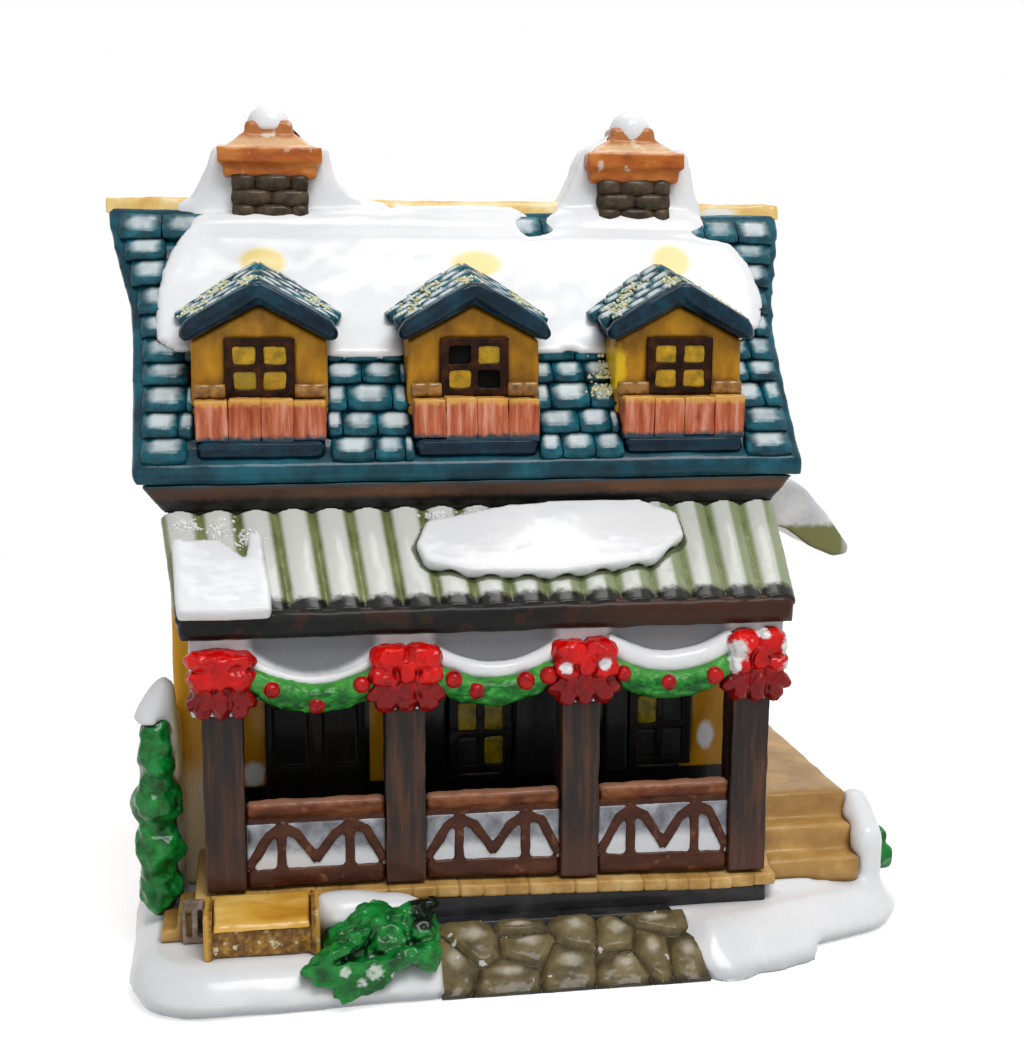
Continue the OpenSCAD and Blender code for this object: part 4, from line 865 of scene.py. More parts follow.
porchLook = dict(tiles=17, front=-50.3, edgeZ=54.4, long=23.2, tilt=29.7, footHalf=45, headHalf=48, crown=0.6,
                 deep=3.4, board=2.2, rim=1.3)
# Olive ribs with a painted highlight white on their crests, sage to the right, painted shade in their
# recesses, dark at the eave and round the snow
ribGlaze = glazeFinish(
    "oliveRibGlaze", ("5E673C", "757D4C", "8B9364"), patch=3, streak=(1, 0.4, 0.4), bump=(1.2, 0.08),
    roughness=0.26, coat=0.5, shine=0.12, ragSize=0.9,
    layers=[dict(mark="sage", low=0, high=1, rag=0.1, tone="97A380", strength=0.8),
            dict(mark="crest", low=0.15, high=1.0, rag=0.1, tone="E2E3DF", strength=0.88),
            dict(recess=0.9, low=0.75, high=0.3, tone="454A26", strength=0.9),
            dict(mark="rim", low=0.15, high=0.5, rag=0.15, tone="4E5434", strength=0.9),
            dict(axis=1, low=-47.2, high=-48.6, rag=0.8, tone="10110C")])
pick()
bpy.ops.mesh.primitive_cylinder_add(vertices=28, radius=0.5, depth=1, rotation=(math.pi / 2, 0, 0))
bpy.ops.object.transform_apply(location=True, rotation=True, scale=True)
barrel = bpy.context.object
barrel.name = "barrelTile"
tiles, climb = porchLook["tiles"], math.radians(porchLook["tilt"])
crownUp = porchLook["crown"] - porchLook["deep"] / 2
headY = porchLook["front"] + porchLook["long"] * math.cos(climb)
headZ = porchLook["edgeZ"] + porchLook["long"] * math.sin(climb)
wide = 2 * porchLook["footHalf"] / tiles * 1.1
out = Vector((0, -math.sin(climb), math.cos(climb)))
barrels = []
for k in range(tiles):
    share = (k + 0.5) / tiles * 2 - 1
    foot = Vector((porchLook["footHalf"] * share, porchLook["front"] + 0.3, porchLook["edgeZ"] + 0.1))
    head = Vector((porchLook["headHalf"] * share, headY, headZ))
    size = (wide, (head - foot).length, porchLook["deep"])
    barrels.append(copied(barrel, stance((foot + head) / 2 + out * crownUp, size, along=head - foot)))
dropped(barrel)
board = addSlab("roofBoard", [(-45, 0), (45, 0), (48, porchLook["long"]), (-48, porchLook["long"])],
                porchLook["board"])
layOnSlope(board, (porchLook["front"] + 0.3, porchLook["edgeZ"]), climb, porchLook["board"] + 0.7)
ribs = softened(joined("ribbedRoof", [board, *barrels]), 0.3, 2, 0.2, 5)
points = housePoints(ribs)
x, y, z = points.T
climbed = (z - porchLook["edgeZ"]) / (porchLook["long"] * math.sin(climb))
halfHere = porchLook["footHalf"] + (porchLook["headHalf"] - porchLook["footHalf"]) * climbed
phase = (x / halfHere * tiles / 2 + tiles / 2) % 1  # 0 and 1 in the valleys, 0.5 on a crest
greener = rising(x, -4, 14)
# Painted highlight white along each rib's crest, narrower and fainter to the right
crest = np.clip(1.5 - (np.abs(phase - 0.48 + 0.1 * greener) / (0.36 - 0.1 * greener)) ** 2, 0, 1)
mark(ribs, "crest", crest * (1 - 0.2 * greener) * (y > -49.2))
mark(ribs, "sage", greener * rising(np.abs(phase - 0.5), 0.5, 0.38))
patchMesh = frame["nodes"]["porch_snow"].data
outline = kdtree.KDTree(len(patchMesh.edges) * 12)
for edge in patchMesh.edges:
    start, end = (patchMesh.vertices[v].co for v in edge.vertices)
    for k in range(12):
        outline.insert(start.lerp(end, k / 12), 0)
outline.balance()
rim = np.zeros(len(points))
for k in np.flatnonzero((x > -22) & (x < 38)):
    rim[k] = 1 - outline.find(spot(*points[k]))[2] / mm / porchLook["rim"]
mark(ribs, "rim", np.clip(rim, 0, 1))
dress(ribs, ribGlaze, "olive_roof", "porch_roof")
patchLook = dict(rise=1.95, corners=[
    (-45.9, 14.8), (-44.4, 14.7), (-41.7, 13.1), (-38.7, 11.7), (-36.1, 10.2), (-35.2, 10.5), (-34.8, 16.2),
    (-33.2, 16.2), (-32.9, 10.5), (-32.1, 4.1), (-32.0, -0.8), (-38, -1.1), (-41.5, -0.9), (-44.8, -0.8)])
leftPatch = addSlab("leftPatch", patchLook["corners"][::-1], patchLook["rise"])
layOnSlope(leftPatch, (porchLook["front"], porchLook["edgeZ"]), climb)
porchSnow = softCopy("porchSnow", ["porch_snow"], 0.35, 9, 0.2, 4, [leftPatch])
modify(porchSnow, "DISPLACE", strength=0.15 * mm, mid_level=0)
mark(porchSnow, "tint", 0)
dress(porchSnow, snowGlaze, "snow_glaze", "porch_snow")

# Brown under the eaves, with a painted shadow black along the foot and teal along the top
corniceGlaze = glazeFinish(
    "cornicePaintGlaze", ("35200F", "4A2C15", "653E1E"), patch=6, streak=(0.25, 1, 1), bump=(2, 0.1),
    roughness=0.38, coat=0.4, shine=0.2,
    layers=[dict(axis=2, low=68.6, high=67.6, rag=0.5, tone="110F0E"),
            dict(axis=2, low=69.6, high=70.2, rag=0.4, tone="12424E", strength=0.9)])
dress(softCopy("eavesCove", ["cornice"], 0.6, 4, 0.4, 7), corniceGlaze, "dark_wood", "cornice")

print("main roof")
roofLook = dict(eave=(-31.4, 72.7), bend=(-14.1, 92.94), top=(-2.4, 114), half=52, flare=5,
                flareAt=(0, 0.2, 0.45, 0.6, 0.75, 0.9, 1.06), flareBy=(0, 0, 0.05, 0.17, 0.5, 0.82, 1),
                courses=(73.3, 76.6, 80.2, 84.3, 87.9, 92, 95.8, 100.6, 104.7, 108.2, 112.2),
                widths=(4.6, 7.4), verge=1.6, thick=2.5, tilt=0.2, dormers=(-32.8, 0, 32.8), dormerHalf=9.8,
                dormerTop=96)
# Teal slates with a painted highlight pale in the middle, random tones, and painted shade nearly black
# between them
slateGlaze = glazeFinish(
    "tealSlateGlaze", ("06333F", "0C4F5E", "187382"), patch=3, bump=(1.2, 0.1), roughness=0.22, coat=0.45,
    shine=0.1, ragSize=1.6,
    layers=[dict(mark="tone", low=0.4, high=1, tone="146575", strength=0.4),
            dict(mark="crest", low=0.3, high=1.05, rag=0.22, tone="E6EFF1", strength=0.82),
            dict(recess=1.2, low=0.85, high=0.4, tone="061D26")])
# The darker teal of the roof's body, with painted shade in its recesses
tealGlaze = glazeFinish(
    "darkTealGlaze", ("05303D", "0A4757", "116171"), patch=7, bump=(2, 0.12), roughness=0.22, coat=0.4,
    shine=0.1,
    layers=[dict(recess=1.5, tone="082630")])
roofBody = softCopy("roofBody", ["main_roof"], 0.8, 4, 0.4, 9)
dress(roofBody, tealGlaze, "teal_slate", "main_roof")


def slopeAt(z):  # y of the curved slope at this height, and its upward direction
    a, b, c = (np.array(roofLook[key]) for key in ("eave", "bend", "top"))
    shares = np.linspace(0, 1, 200)[:, None]
    curve = (1 - shares) ** 2 * a + 2 * shares * (1 - shares) * b + shares ** 2 * c
    y = np.interp(z, curve[:, 1], curve[:, 0])
    ahead = np.interp(z + 0.5, curve[:, 1], curve[:, 0])
    return y, Vector((0, ahead - y, 0.5)).normalized()


def halfWidth(z):
    share = (z - roofLook["eave"][1]) / (roofLook["top"][1] - roofLook["eave"][1])
    return roofLook["half"] + roofLook["flare"] * np.interp(share, roofLook["flareAt"], roofLook["flareBy"])


def addSlate(name, roundness):  # its painted highlight lies pale in the middle and a little above it
    unit = addPillow(name, 2, roundness)
    x, y, z = np.array([v.co for v in unit.data.vertices]).T
    mark(unit, "crest", np.clip(1.55 - 2.9 * np.maximum(np.abs(x) * 0.9, np.abs(y - 0.06)), 0, 1) * (z > 0.2))
    return unit


slate = addSlate("slateUnit", 0.3)
slates, beside = [], roofLook["dormerHalf"]
for side in (1, -1):
    for z0, z1 in zip(roofLook["courses"], roofLook["courses"][1:]):
        z = (z0 + z1) / 2
        y, uphill = slopeAt(z)
        long = (z1 - z0) / uphill.z
        edge = halfWidth(z) - roofLook["verge"]
        x = -edge
        while x < edge - 1.5:
            wide = min(random.uniform(*roofLook["widths"]), edge - x)
            if edge - x - wide < 2:
                wide = edge - x
            left, right = x, x + wide
            x += wide
            for d in roofLook["dormers"]:  # a slate beside a dormer is cut short
                if side > 0 and z0 < roofLook["dormerTop"] and left < d + beside and right > d - beside:
                    left, right = (left, d - beside) if (left + right) / 2 < d else (d + beside, right)
            centre, wide = (left + right) / 2, right - left
            middle = spot(centre, y, z)
            _, onSnow, outward, _ = frame["nodes"]["roof_snow"].closest_point_on_mesh(middle)
            buried = side > 0 and (middle - onSnow).dot(outward) < 0 and (middle - onSnow).length < 1.7 * mm
            if wide <= 1.3 or buried:
                continue
            lift = Vector((0, -uphill.z, uphill.y)) * 0.15
            across = (1, 0, random.uniform(-0.03, 0.03))
            size = (wide * 0.99, long * 1.06, roofLook["thick"] * random.uniform(0.9, 1.15))
            along = Matrix.Rotation(-roofLook["tilt"], 3, "X") @ uphill
            piece = copied(slate, stance((centre, y + lift.y, z + lift.z), size, across, along))
            # The painted highlight's strength: random, a little stronger on the lower courses
            lit = random.uniform(0.74, 1.02) + 0.06 * (z0 < 92)
            crestLayer = np.empty(len(piece.data.vertices), np.float32)
            piece.data.attributes["crest"].data.foreach_get("value", crestLayer)
            mark(piece, "crest", crestLayer * lit)
            if side < 0:
                setHousePoints(piece, housePoints(piece) * (1, -1, 1))
                piece.data.flip_normals()
            slates.append(piece)
dress(joined("roofSlates", slates), slateGlaze, "teal_slate")

# Cream-yellow ridge with white patches, with painted shade browner in its dips
creamGlaze = glazeFinish(
    "creamRidgeGlaze", ("E3B45E", "F0CE80", "F6E2AE"), patch=5, bump=(2, 0.1), roughness=0.3, coat=0.7,
    layers=[dict(mark="pale", low=0.3, high=0.9, rag=0.4, tone="F4F2EC"),
            dict(recess=1, tone="A8813C", strength=0.7)])
ridge = softCopy("ridgeRoll", ["ridge_roll"], 0.4, 3, 0.3, 6)
points = housePoints(ridge)
points[:, 2] -= rising(points[:, 2], 115.6, 114)
points[:, 1] *= 1.12
setHousePoints(ridge, points)
pale = [np.clip(1.5 - np.abs(points[:, 0] - x) / wide, 0, 1) for x, wide in ((46, 3), (3, 4), (-9, 1.5))]
mark(ridge, "pale", np.max(pale, axis=0) * np.maximum(rising(points[:, 2], 115.3, 114.5), 0.3))
dress(ridge, creamGlaze, "ridge_yellow", "ridge_roll")

heapLook = dict(
    front=-2.9, back=4.6, swell=0.5, lumps=((0, 112.6, (22, 4.2, 2.8)), (29, 110.9, (26, 6.4, 3.4))),
    lit=((-32.0, 104.9, 3.6, 2.4), (2.6, 104.8, 4.2, 2.2), (35.6, 105.4, 3.2, 2.8)), outlines=[
        [(-46, 111.6), (-45.5, 114.9), (-43, 115.8), (-41.3, 117.4), (-40.3, 119.5), (-39.9, 121.5),
         (-38.3, 122.6), (-22.5, 122.6), (-20.9, 121.9), (-20.4, 118.5), (-19.6, 116.8), (-16, 115.9),
         (-11.4, 115.2), (-10.5, 111.6)],
        [(16.5, 111.6), (17.7, 115.3), (19.2, 116.4), (20.3, 117.6), (21.2, 120.5), (22.3, 122.6),
         (24, 123.6), (38, 123.4), (40.1, 122.6), (41, 119), (41.4, 117), (42.6, 115.3), (43.2, 111.6)]])
heaps = []
for outline in heapLook["outlines"]:
    heap = addSlab("snowHeap", outline[::-1], heapLook["back"] - heapLook["front"])
    across, up, deep = rawPoints(heap).T
    setHousePoints(heap, np.stack([across, heapLook["back"] - deep, up], 1))
    heaps.append(heap)
lump = addPillow("snowLump", 5, 0.6)
for x, z, size in heapLook["lumps"]:
    y, uphill = slopeAt(z)
    heaps.append(copied(lump, stance((x, y, z), size, along=uphill)))
dropped(lump)
roofSnow = softCopy("roofSnow", ["roof_snow", "chimney_snow"], 0.6, 9, 0.3, 9, heaps)
points = housePoints(roofSnow)
outward = np.array([v.normal for v in roofSnow.data.vertices])
points += heapLook["swell"] * outward * rising(points[:, 2:3], 111, 109)
setHousePoints(roofSnow, points)
# Yellow painted light on the snow above the dormers, where their light falls
mark(roofSnow, "tint", spots(points, heapLook["lit"]) * (points[:, 1] < 0))
dress(roofSnow, snowGlaze, "snow_glaze", "roof_snow", "chimney_snow")

print("dormers")
dormerLook = dict(at=roofLook["dormers"], face=-26.5, front=-28, apex=101.5, reach=11.3, edgeZ=94.7, sill=83,
                  rise=9.8, width=10.6, bar=1.35, climb=0.62, rows=5, rowLong=3.1, perRow=4.3, balcony=19.4,
                  ledges=(-6.45, -8.65, 6.45, 8.65))
# Blue-black teal of the dormers' edges and the lips under the balconies, with painted shade in the recesses
dormerRoofGlaze = glazeFinish(
    "dormerRoofGlaze", ("041B29", "07293A", "0C3F50"), patch=4, bump=(1.5, 0.1), roughness=0.22, coat=0.35,
    shine=0.08,
    layers=[dict(recess=1.2, tone="03121C")])
# Golden brown window ledges, with painted shade in their recesses
ledgeGlaze = glazeFinish(
    "goldenBrownGlaze", ("6E4A1A", "9A6B2A", "B98A3C"), patch=1.6, bump=(1, 0.12), roughness=0.28, coat=0.9,
    layers=[dict(recess=0.8, tone="3A240C")])
# Terracotta balcony boards, with a painted highlight golden along the top, painted shade in their recesses,
# and teal at the foot
terracottaGlaze = glazeFinish(
    "terracottaGlaze", ("A04526", "C96C48", "E8A488"), patch=1.3, streak=(1, 1, 0.1), bump=(0.6, 0.2),
    roughness=0.34, coat=0.3, shine=0.12,
    layers=[dict(recess=0.7, low=0.85, high=0.4, tone="7A2E1A"),
            dict(axis=2, low=81.6, high=82.6, rag=1.0, tone="E5B055", strength=0.85),
            dict(axis=2, low=77.7, high=76.9, rag=0.8, tone="0A4656", strength=0.95)])
# Mustard dormer walls, with painted shade in their recesses and painted light bright yellow on one cheek
gableWallGlaze = glazeFinish(
    "dormerMustardGlaze", ("8E600C", "B57C0E", "D2961A"), patch=4, streak=(1, 1, 0.5), bump=(2, 0.12),
    roughness=0.3, coat=0.4, shine=0.1,
    layers=[dict(recess=2, low=0.75, high=0.25, tone="5A3A0A", strength=0.8),
            dict(mark="glow", low=0.2, high=0.8, rag=0.3, tone="EFC41E")])
brick = addPillow("ledgeBrick", 3, 0.3)
slateSmall = addSlate("smallSlate", 0.4)
roll = addPillow("fasciaRoll", 4, 0.45)
apex, front, perRow = dormerLook["apex"], dormerLook["front"], dormerLook["perRow"]
fall = dormerLook["edgeZ"] - apex
downs = [(side, Vector((side * dormerLook["reach"], 0, fall))) for side in (-1, 1)]
for n, x in enumerate(dormerLook["at"], 1):
    cheeks = softCopy(f"dormerWall{n}", [f"dormer_{n}"], 0.45, 3, 0.3, 5)
    points = housePoints(cheeks)
    # Painted light: dormer 3's left cheek brighter yellow
    glow = rising(points[:, 2], 92.5, 89.5) * rising(points[:, 2], 83, 85) * (n == 3)
    mark(cheeks, "glow", rising(points[:, 0], x - 7.8, x - 9.4) * glow)
    dress(cheeks, gableWallGlaze, "mustard_wall", f"dormer_{n}")
    rolls = []
    for _, down in downs:
        centre = (x + down.x / 2, front + 0.5, apex + fall / 2 - 0.9)
        rolls.append(copied(roll, stance(centre, (down.length, 3.3, 3.2), down)))
    gable = softCopy(f"dormerGable{n}", [f"dormer_roof_{n}"], 0.35, 6, 0.3, 4, rolls)
    dress(gable, dormerRoofGlaze, "teal_slate", f"dormer_roof_{n}")
    rows = []
    for side, down in downs:
        slope = down.length
        for row in range(dormerLook["rows"]):
            y = front + 2.2 + row * dormerLook["rowLong"]
            for c in range(4):
                s = (c + 0.42 + 0.35 * (row % 2)) / perRow * slope * (1 + 0.04 * row)
                rise = 0.2 + row * dormerLook["climb"] * (1 - 0.25 * abs(s / slope - 0.4))
                centre = Vector((x, y, apex + rise)) + down.normalized() * s
                if y > slopeAt(centre.z)[0] + 1:
                    continue
                wide = slope / perRow * random.uniform(1.0, 1.2)
                size = (wide, dormerLook["rowLong"] * random.uniform(1.05, 1.25), 1.8)
                rows.append(copied(slateSmall, stance(centre, size, down, (0, side, 0.16 * side))))
    dress(joined(f"dormerSlates{n}", rows), slateGlaze, "teal_slate")
    mesh, panes = addWindow(x, *(dormerLook[key] for key in ("sill", "width", "rise", "face", "bar")), 0.45)
    mesh.name = f"dormerFrame{n}"
    dress(mesh, frameGlaze, "black_brown", f"dormer_window_{n}")
    lit = [copied(pane, place) for sx, sz, place in panes if n != 2 or sx == sz]  # the middle has two pierced
    dress(joined(f"dormerPanes{n}", lit), paneGlaze, "window_yellow")
    back = addBlock(f"dormerVoid{n}", (x - 4.9, -26.6, 83.4), (x + 4.9, -25.2, 92.4), 0.2)
    dress(back, voidGlaze, "black_brown")
    planks = []
    wide = dormerLook["balcony"] / 4
    for k in range(4):
        left = x - dormerLook["balcony"] / 2 + k * wide
        top, foot = 83 + random.uniform(-0.3, 0.1), 76.4 + random.uniform(-0.5, 0.4)
        board = addBlock("balconyPlank", (left - 0.02, -30.8, foot), (left + wide + 0.02, -26.2, top), 0.35)
        points = housePoints(board)
        points[:, 0] += (points[:, 2] - 79) * random.uniform(-0.03, 0.03)
        setHousePoints(board, points)
        planks.append(board)
    balcony = weathered(joined(f"balconyPlanks{n}", planks), 2, 0.45, 1.6)
    dress(balcony, terracottaGlaze, "terracotta", f"balcony_{n}")
    lip = addBlock(f"balconyLip{n}", (x - 9.6, -31.3, 73.8), (x + 9.6, -26.2, 76.9), 1.3)
    dress(weathered(lip, 3, 0.4, 3), dormerRoofGlaze, "teal_slate")
    ledges = [copied(brick, stance((x + off, -27.2, 84.1), (2.5, 2.4, 2.4))) for off in dormerLook["ledges"]]
    dress(joined(f"windowLedges{n}", ledges), ledgeGlaze, "mustard_wall")

print("chimneys")
chimneyLook = dict(at=(-30.5, 30.5), foot=107.8, top=117.4, courses=4, wide=12.2, capTaper=(0.4, 0.42))
# Smoke-brown bricks, with painted shade in their recesses
brickGlaze = glazeFinish(
    "smokedBrickGlaze", ("2C2217", "453828", "5C4D38"), patch=2, bump=(1, 0.15), roughness=0.35, coat=0.3,
    shine=0.12,
    layers=[dict(recess=0.8, tone="1A120A")])
# Rust-orange chimney caps, with a painted highlight pale round the middle, painted shade in their recesses,
# and chips of snow
capGlaze = glazeFinish(
    "rustCapGlaze", ("A34E14", "C46A20", "DA8A3E"), patch=3, streak=(0.4, 1, 1), bump=(1.5, 0.12),
    roughness=0.28, coat=0.5, shine=0.12,
    layers=[dict(recess=1.2, tone="5E2C0E", strength=0.8),
            dict(axis=2, low=121.3, high=122.3, rag=0.5, tone="E9C79A", strength=0.75),
            dict(axis=2, low=122.9, high=123.9, rag=0.5, tone="B8692C", strength=0.9),
            dict(spots=3, low=0.62, high=0.72, tone="F0E2CC", strength=0.8)])
wide, foot, top = chimneyLook["wide"], chimneyLook["foot"], chimneyLook["top"]
tall = (top - foot) / chimneyLook["courses"]
for n, x in enumerate(chimneyLook["at"], 1):
    core = addBlock("core", (x - 5.7, -4.3, foot - 0.5), (x + 5.7, 4.3, top + 0.3))
    mark(core, "crest", 0)
    bricks = [core]
    for k in range(chimneyLook["courses"]):
        cuts = (0, 0.52, 1) if k % 2 == 0 else (0, 0.3, 0.78, 1)
        for a, b in zip(cuts, cuts[1:]):
            centre = (x + ((a + b) / 2 - 0.5) * wide, 0, foot + (k + 0.5) * tall)
            bricks.append(copied(brick, stance(centre, ((b - a) * wide * 1.04, tall * 1.12, 10))))
    dress(joined(f"brickStack{n}", bricks), brickGlaze, "stack_grey", f"chimney_{n}")
    step = addBlock("capFoot", (x - 7.6, -4.9, 117.2), (x + 7.6, 4.9, 119.6))
    lip = addBlock("capLip", (x - 8.4, -5.75, 119.2), (x + 8.4, 5.75, 121.8))
    hip = addBlock("capHip", (x - 8.0, -5.4, 121.5), (x + 8.0, 5.4, 124.9))
    points = housePoints(hip)
    up = points[:, 2] > 124
    points[up, :2] = (x, 0) + (points[up, :2] - (x, 0)) * chimneyLook["capTaper"]
    setHousePoints(hip, points)
    neck = addBlock("capNeck", (x - 3.9, -3.2, 123.5), (x + 3.9, 3.2, 126.4), 1)
    cap = softened(joined(f"chimneyTop{n}", [step, lip, hip, neck]), 0.3, 9, 0.5, 4)
    dress(cap, capGlaze, "stack_grey", f"chimney_cap_{n}")
dropped(brick, slateSmall, roll, slate, pane)

# Snow on the awning, with its olive edge showing below and a painted highlight pale at the tip
awningGlaze = glazeFinish(
    "snowyAwningGlaze", ("C9CCCF", "DCDEE0", "ECEDEE"), patch=5, bump=(2, 0.1), roughness=0.35, coat=0.6,
    layers=[dict(axis=2, low=60.6, high=59.4, rag=0.7, tone="7C7E48"),
            dict(axis=0, low=63.8, high=64.8, tone="B9BAB0")])
dress(softCopy("sideAwning", ["side_awning"], 0.4, 4, 0.3, 5), awningGlaze, "olive_roof", "side_awning")

print("frost grains")
gritLook = dict(  # each place: x, y, z and its spread in x, y, z
    size=(0.3, 0.7), dormerCount=260, slopeCount=320, porchCount=420,
    dormer=((-9, -24, 97, 2.5, 5, 2), (-9, -21, 98, 3, 5, 2), (-6, -18, 101, 3, 4, 1.5),
            (9, -20, 99, 3, 4, 2), (-1, -24, 102.4, 2, 4, 0.8)),
    slope=((21.3, -24.4, 84.2, 2.6, 2, 4.2), (22.6, -22, 87.6, 2, 2, 3)),
    porch=((-44, -33, 64.3, 2.2, 2, 1), (-39, -34, 63.8, 2.2, 3.5, 1.5), (-35, -36, 62.5, 2, 3.5, 1.5),
           (-6, -32, 65, 2.5, 1, 0.6), (2, -31.5, 65.3, 4, 1, 0.5), (12, -31, 65.5, 5, 0.8, 0.5)))
# Coarse glassy grit with some yellow grains
frostGlaze = glazeFinish(
    "frostGritGlaze", ("C9D2A0", "E3E6C4", "F4F4EC"), patch=0.9, roughness=0.15, coat=1.0, bump=(0.5, 0.02),
    layers=[dict(mark="tone", low=0.55, high=0.6, tone="D8C23A", strength=0.6)])
# Silvery white grit
silverFrost = glazeFinish(
    "silverFrostGrit", ("D2D4CE", "EDEDEA", "FCFCFC"), patch=0.9, roughness=0.12, coat=1.0, bump=(0.5, 0.02),
    shine=0.5)
pick()
bpy.ops.mesh.primitive_ico_sphere_add(subdivisions=1, radius=0.5)
grain = bpy.context.object
grain.name = "grain"


def scatter(name, target, places, count, finish):
    grains = []
    for _ in range(count):
        cx, cy, cz, rx, ry, rz = random.choice(places)
        guess = spot(*(c + random.gauss(0, 0.5) * r for c, r in ((cx, rx), (cy, ry), (cz, rz))))
        found, place, normal, _ = target.closest_point_on_mesh(guess)
        if not found or normal.z < -0.2:
            continue
        size = random.uniform(*gritLook["size"]) * mm
        turn = Matrix.Rotation(random.uniform(0, 3), 4, "Z") @ Matrix.Rotation(random.uniform(0, 3), 4, "X")
        grains.append(copied(grain, Matrix.Translation(place) @ turn @ Matrix.Scale(size, 4)))
    piece = joined(name, grains)
    piece.data.shade_flat()
    dress(piece, finish, "snow_glaze")


bpy.context.view_layer.update()
for n, x in enumerate(dormerLook["at"], 1):
    places = [(x + off, *rest) for off, *rest in gritLook["dormer"]]
    slates = bpy.data.objects[f"dormerSlates{n}"]
    scatter(f"dormerFrost{n}", slates, places, gritLook["dormerCount"], frostGlaze)
scatter("slopeFrost", bpy.data.objects["roofSlates"], gritLook["slope"], gritLook["slopeCount"], frostGlaze)
scatter("porchFrost", ribs, gritLook["porch"], gritLook["porchCount"], silverFrost)
dropped(grain)

for piece in dressed:
    if "brickStack" not in piece.name:
        setHousePoints(piece, settle(housePoints(piece)))

print("tea light")
insideLook = dict(patch=20, bump=(0.6, 0.01), roughness=0.45, coat=0)
insides = [
    # Moulded white ABS, even and softly satin
    ("whiteAbsPlastic", ("DAD9D2", "E2E1DA", "E8E7E1"), dict(), ("light_case", "battery_door")),
    # The lens: milky warm white
    ("warmLensPlastic", ("F2E3B8", "F6EBC8", "FAF2DA"), dict(roughness=0.3), ("light_lens",)),
    # The lamp itself: clear amber resin
    ("amberLedResin", ("D98A2A", "E59A38", "EDA94C"), dict(roughness=0.12), ("light_led",)),
    # Green board lacquer
    ("greenBoardResin", ("0E4A2A", "125A33", "186A3E"), dict(patch=3), ("light_board",)),
    # Nickelled steel, finely brushed
    ("brushedCellSteel", ("B4B4B2", "C4C4C2", "D2D2D0"),
     dict(patch=2, streak=(0.1, 1, 1), roughness=0.28, metallic=1), ("coin_cell",)),
    # Sprung brass
    ("contactBrass", ("B58A3A", "C99C48", "D8AE5E"),
     dict(patch=2, roughness=0.3, metallic=1), ("cell_contact",)),
    # Black moulded knob
    ("blackKnobPlastic", ("161616", "1D1D1D", "242424"), dict(roughness=0.4), ("switch_knob",))]
for name, tones, changes, nodes in insides:
    finish = glazeFinish(name, tones, **(insideLook | changes))
    for node in nodes:
        kept = frame["nodes"][node]
        kept.data.materials.clear()
        kept.data.materials.append(finish)

print("floor, light and camera")
pick()
bpy.ops.mesh.primitive_plane_add(size=60)
floor = bpy.context.object
floor.name = "paleFloor"


def seenBy(tree, *kinds):  # 1 for rays of these kinds
    rays = addNode(tree, "ShaderNodeLightPath")
    seen = rays.outputs[kinds[0]]
    for kind in kinds[1:]:
        both = addNode(tree, "ShaderNodeMath", {0: seen, 1: rays.outputs[kind]}, operation="MAXIMUM")
        seen = both.outputs[0]
    return seen


# The floor: matt pale grey for its shadows, seen as white and fading to plain white away from the house
floorPaint = bpy.data.materials.new("whiteSweep")
floorPaint.use_nodes = True
tree = floorPaint.node_tree
tree.nodes.clear()
white = addNode(tree, "ShaderNodeEmission", {"Color": (1, 1, 1, 1), "Strength": 0.62})
matt = addNode(tree, "ShaderNodeBsdfDiffuse", {"Color": paint("E6E6E6")})
both = addNode(tree, "ShaderNodeAddShader", {0: matt.outputs[0], 1: white.outputs[0]})
glowing = addNode(tree, "ShaderNodeEmission", {"Color": (1, 1, 1, 1), "Strength": 1})
fromMiddle = addNode(tree, "ShaderNodeVectorMath", {0: addNode(tree, "ShaderNodeTexCoord").outputs["Object"]},
                     operation="LENGTH")
fade = addNode(tree, "ShaderNodeMapRange", {0: fromMiddle.outputs["Value"], 1: 0.16, 2: 0.34},
               interpolation_type="SMOOTHSTEP")
sweep = addNode(tree, "ShaderNodeMixShader", {0: fade.outputs[0], 1: both.outputs[0], 2: glowing.outputs[0]})
seen = seenBy(tree, "Is Camera Ray", "Is Glossy Ray")
mixed = addNode(tree, "ShaderNodeMixShader", {0: seen, 1: matt.outputs[0], 2: sweep.outputs[0]})
addNode(tree, "ShaderNodeOutputMaterial", {0: mixed.outputs[0]})
floor.data.materials.append(floorPaint)

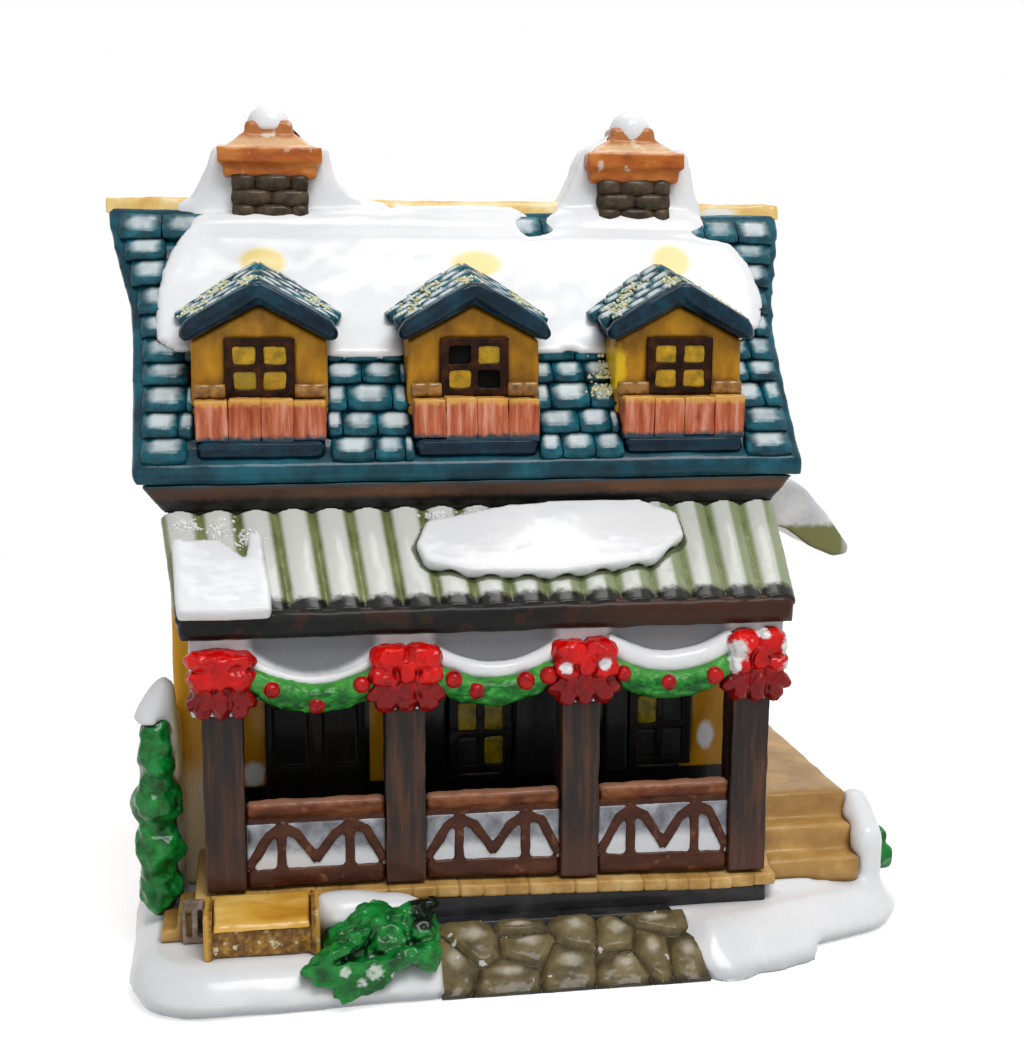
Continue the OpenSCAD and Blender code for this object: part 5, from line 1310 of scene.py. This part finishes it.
# The studio: white where it is seen, dim where it lights
world = bpy.data.worlds.new("studio")
bpy.context.scene.world = world
world.use_nodes = True
tree = world.node_tree
tree.nodes.clear()
dim = addNode(tree, "ShaderNodeBackground", {"Color": (1, 1, 1, 1), "Strength": 0.22})
bright = addNode(tree, "ShaderNodeBackground", {"Color": (1, 1, 1, 1), "Strength": 1})
seen = seenBy(tree, "Is Camera Ray", "Is Glossy Ray", "Is Transmission Ray")
mixed = addNode(tree, "ShaderNodeMixShader", {0: seen, 1: dim.outputs[0], 2: bright.outputs[0]})
addNode(tree, "ShaderNodeOutputWorld", {0: mixed.outputs[0]})

lampLook = dict(  # direction to the lamp, distance, size across and up, watts
    frontSoftbox=((0.16, -0.50, 0.85), 0.75, (0.42, 0.26), 3.3),
    topSoftbox=((0.14, 0.36, 0.92), 0.75, (0.40, 0.26), 1.5),
    frontFill=((-0.35, -0.90, 0.25), 1.0, (0.8, 0.6), 0.8))
aim = spot(0, 0, 60)
for name, (toLamp, far, (wide, tall), watts) in lampLook.items():
    data = bpy.data.lights.new(name, "AREA")
    data.shape, data.size, data.size_y, data.energy = "RECTANGLE", wide, tall, watts
    lamp = bpy.data.objects.new(name, data)
    bpy.context.scene.collection.objects.link(lamp)
    toLamp = Vector(toLamp).normalized()
    lamp.location = aim + toLamp * far
    lamp.rotation_euler = toLamp.to_track_quat("Z", "Y").to_euler()

cameraLook = dict(place=(-38.07, -247.09, 101.76), forward=(0.1605, 0.9733, -0.1639), roll=0.27, lens=52.01)
data = bpy.data.cameras.new("camera")
data.lens, data.sensor_width, data.sensor_fit = cameraLook["lens"], 36, "AUTO"
data.clip_start, data.clip_end = 0.01, 20
camera = bpy.data.objects.new("camera", data)
bpy.context.scene.collection.objects.link(camera)
forward = Vector(cameraLook["forward"]).normalized()
right = forward.cross(Vector((0, 0, 1))).normalized()
up = right.cross(forward)
roll = math.radians(cameraLook["roll"])
right, up = math.cos(roll) * right + math.sin(roll) * up, math.cos(roll) * up - math.sin(roll) * right
camera.matrix_world = Matrix.Translation(Vector(cameraLook["place"]) * mm) @ Matrix(
    (right, up, -forward)).transposed().to_4x4()
bpy.context.scene.camera = camera
bpy.context.scene.view_settings.view_transform = "Standard"

bpy.context.view_layer.update()
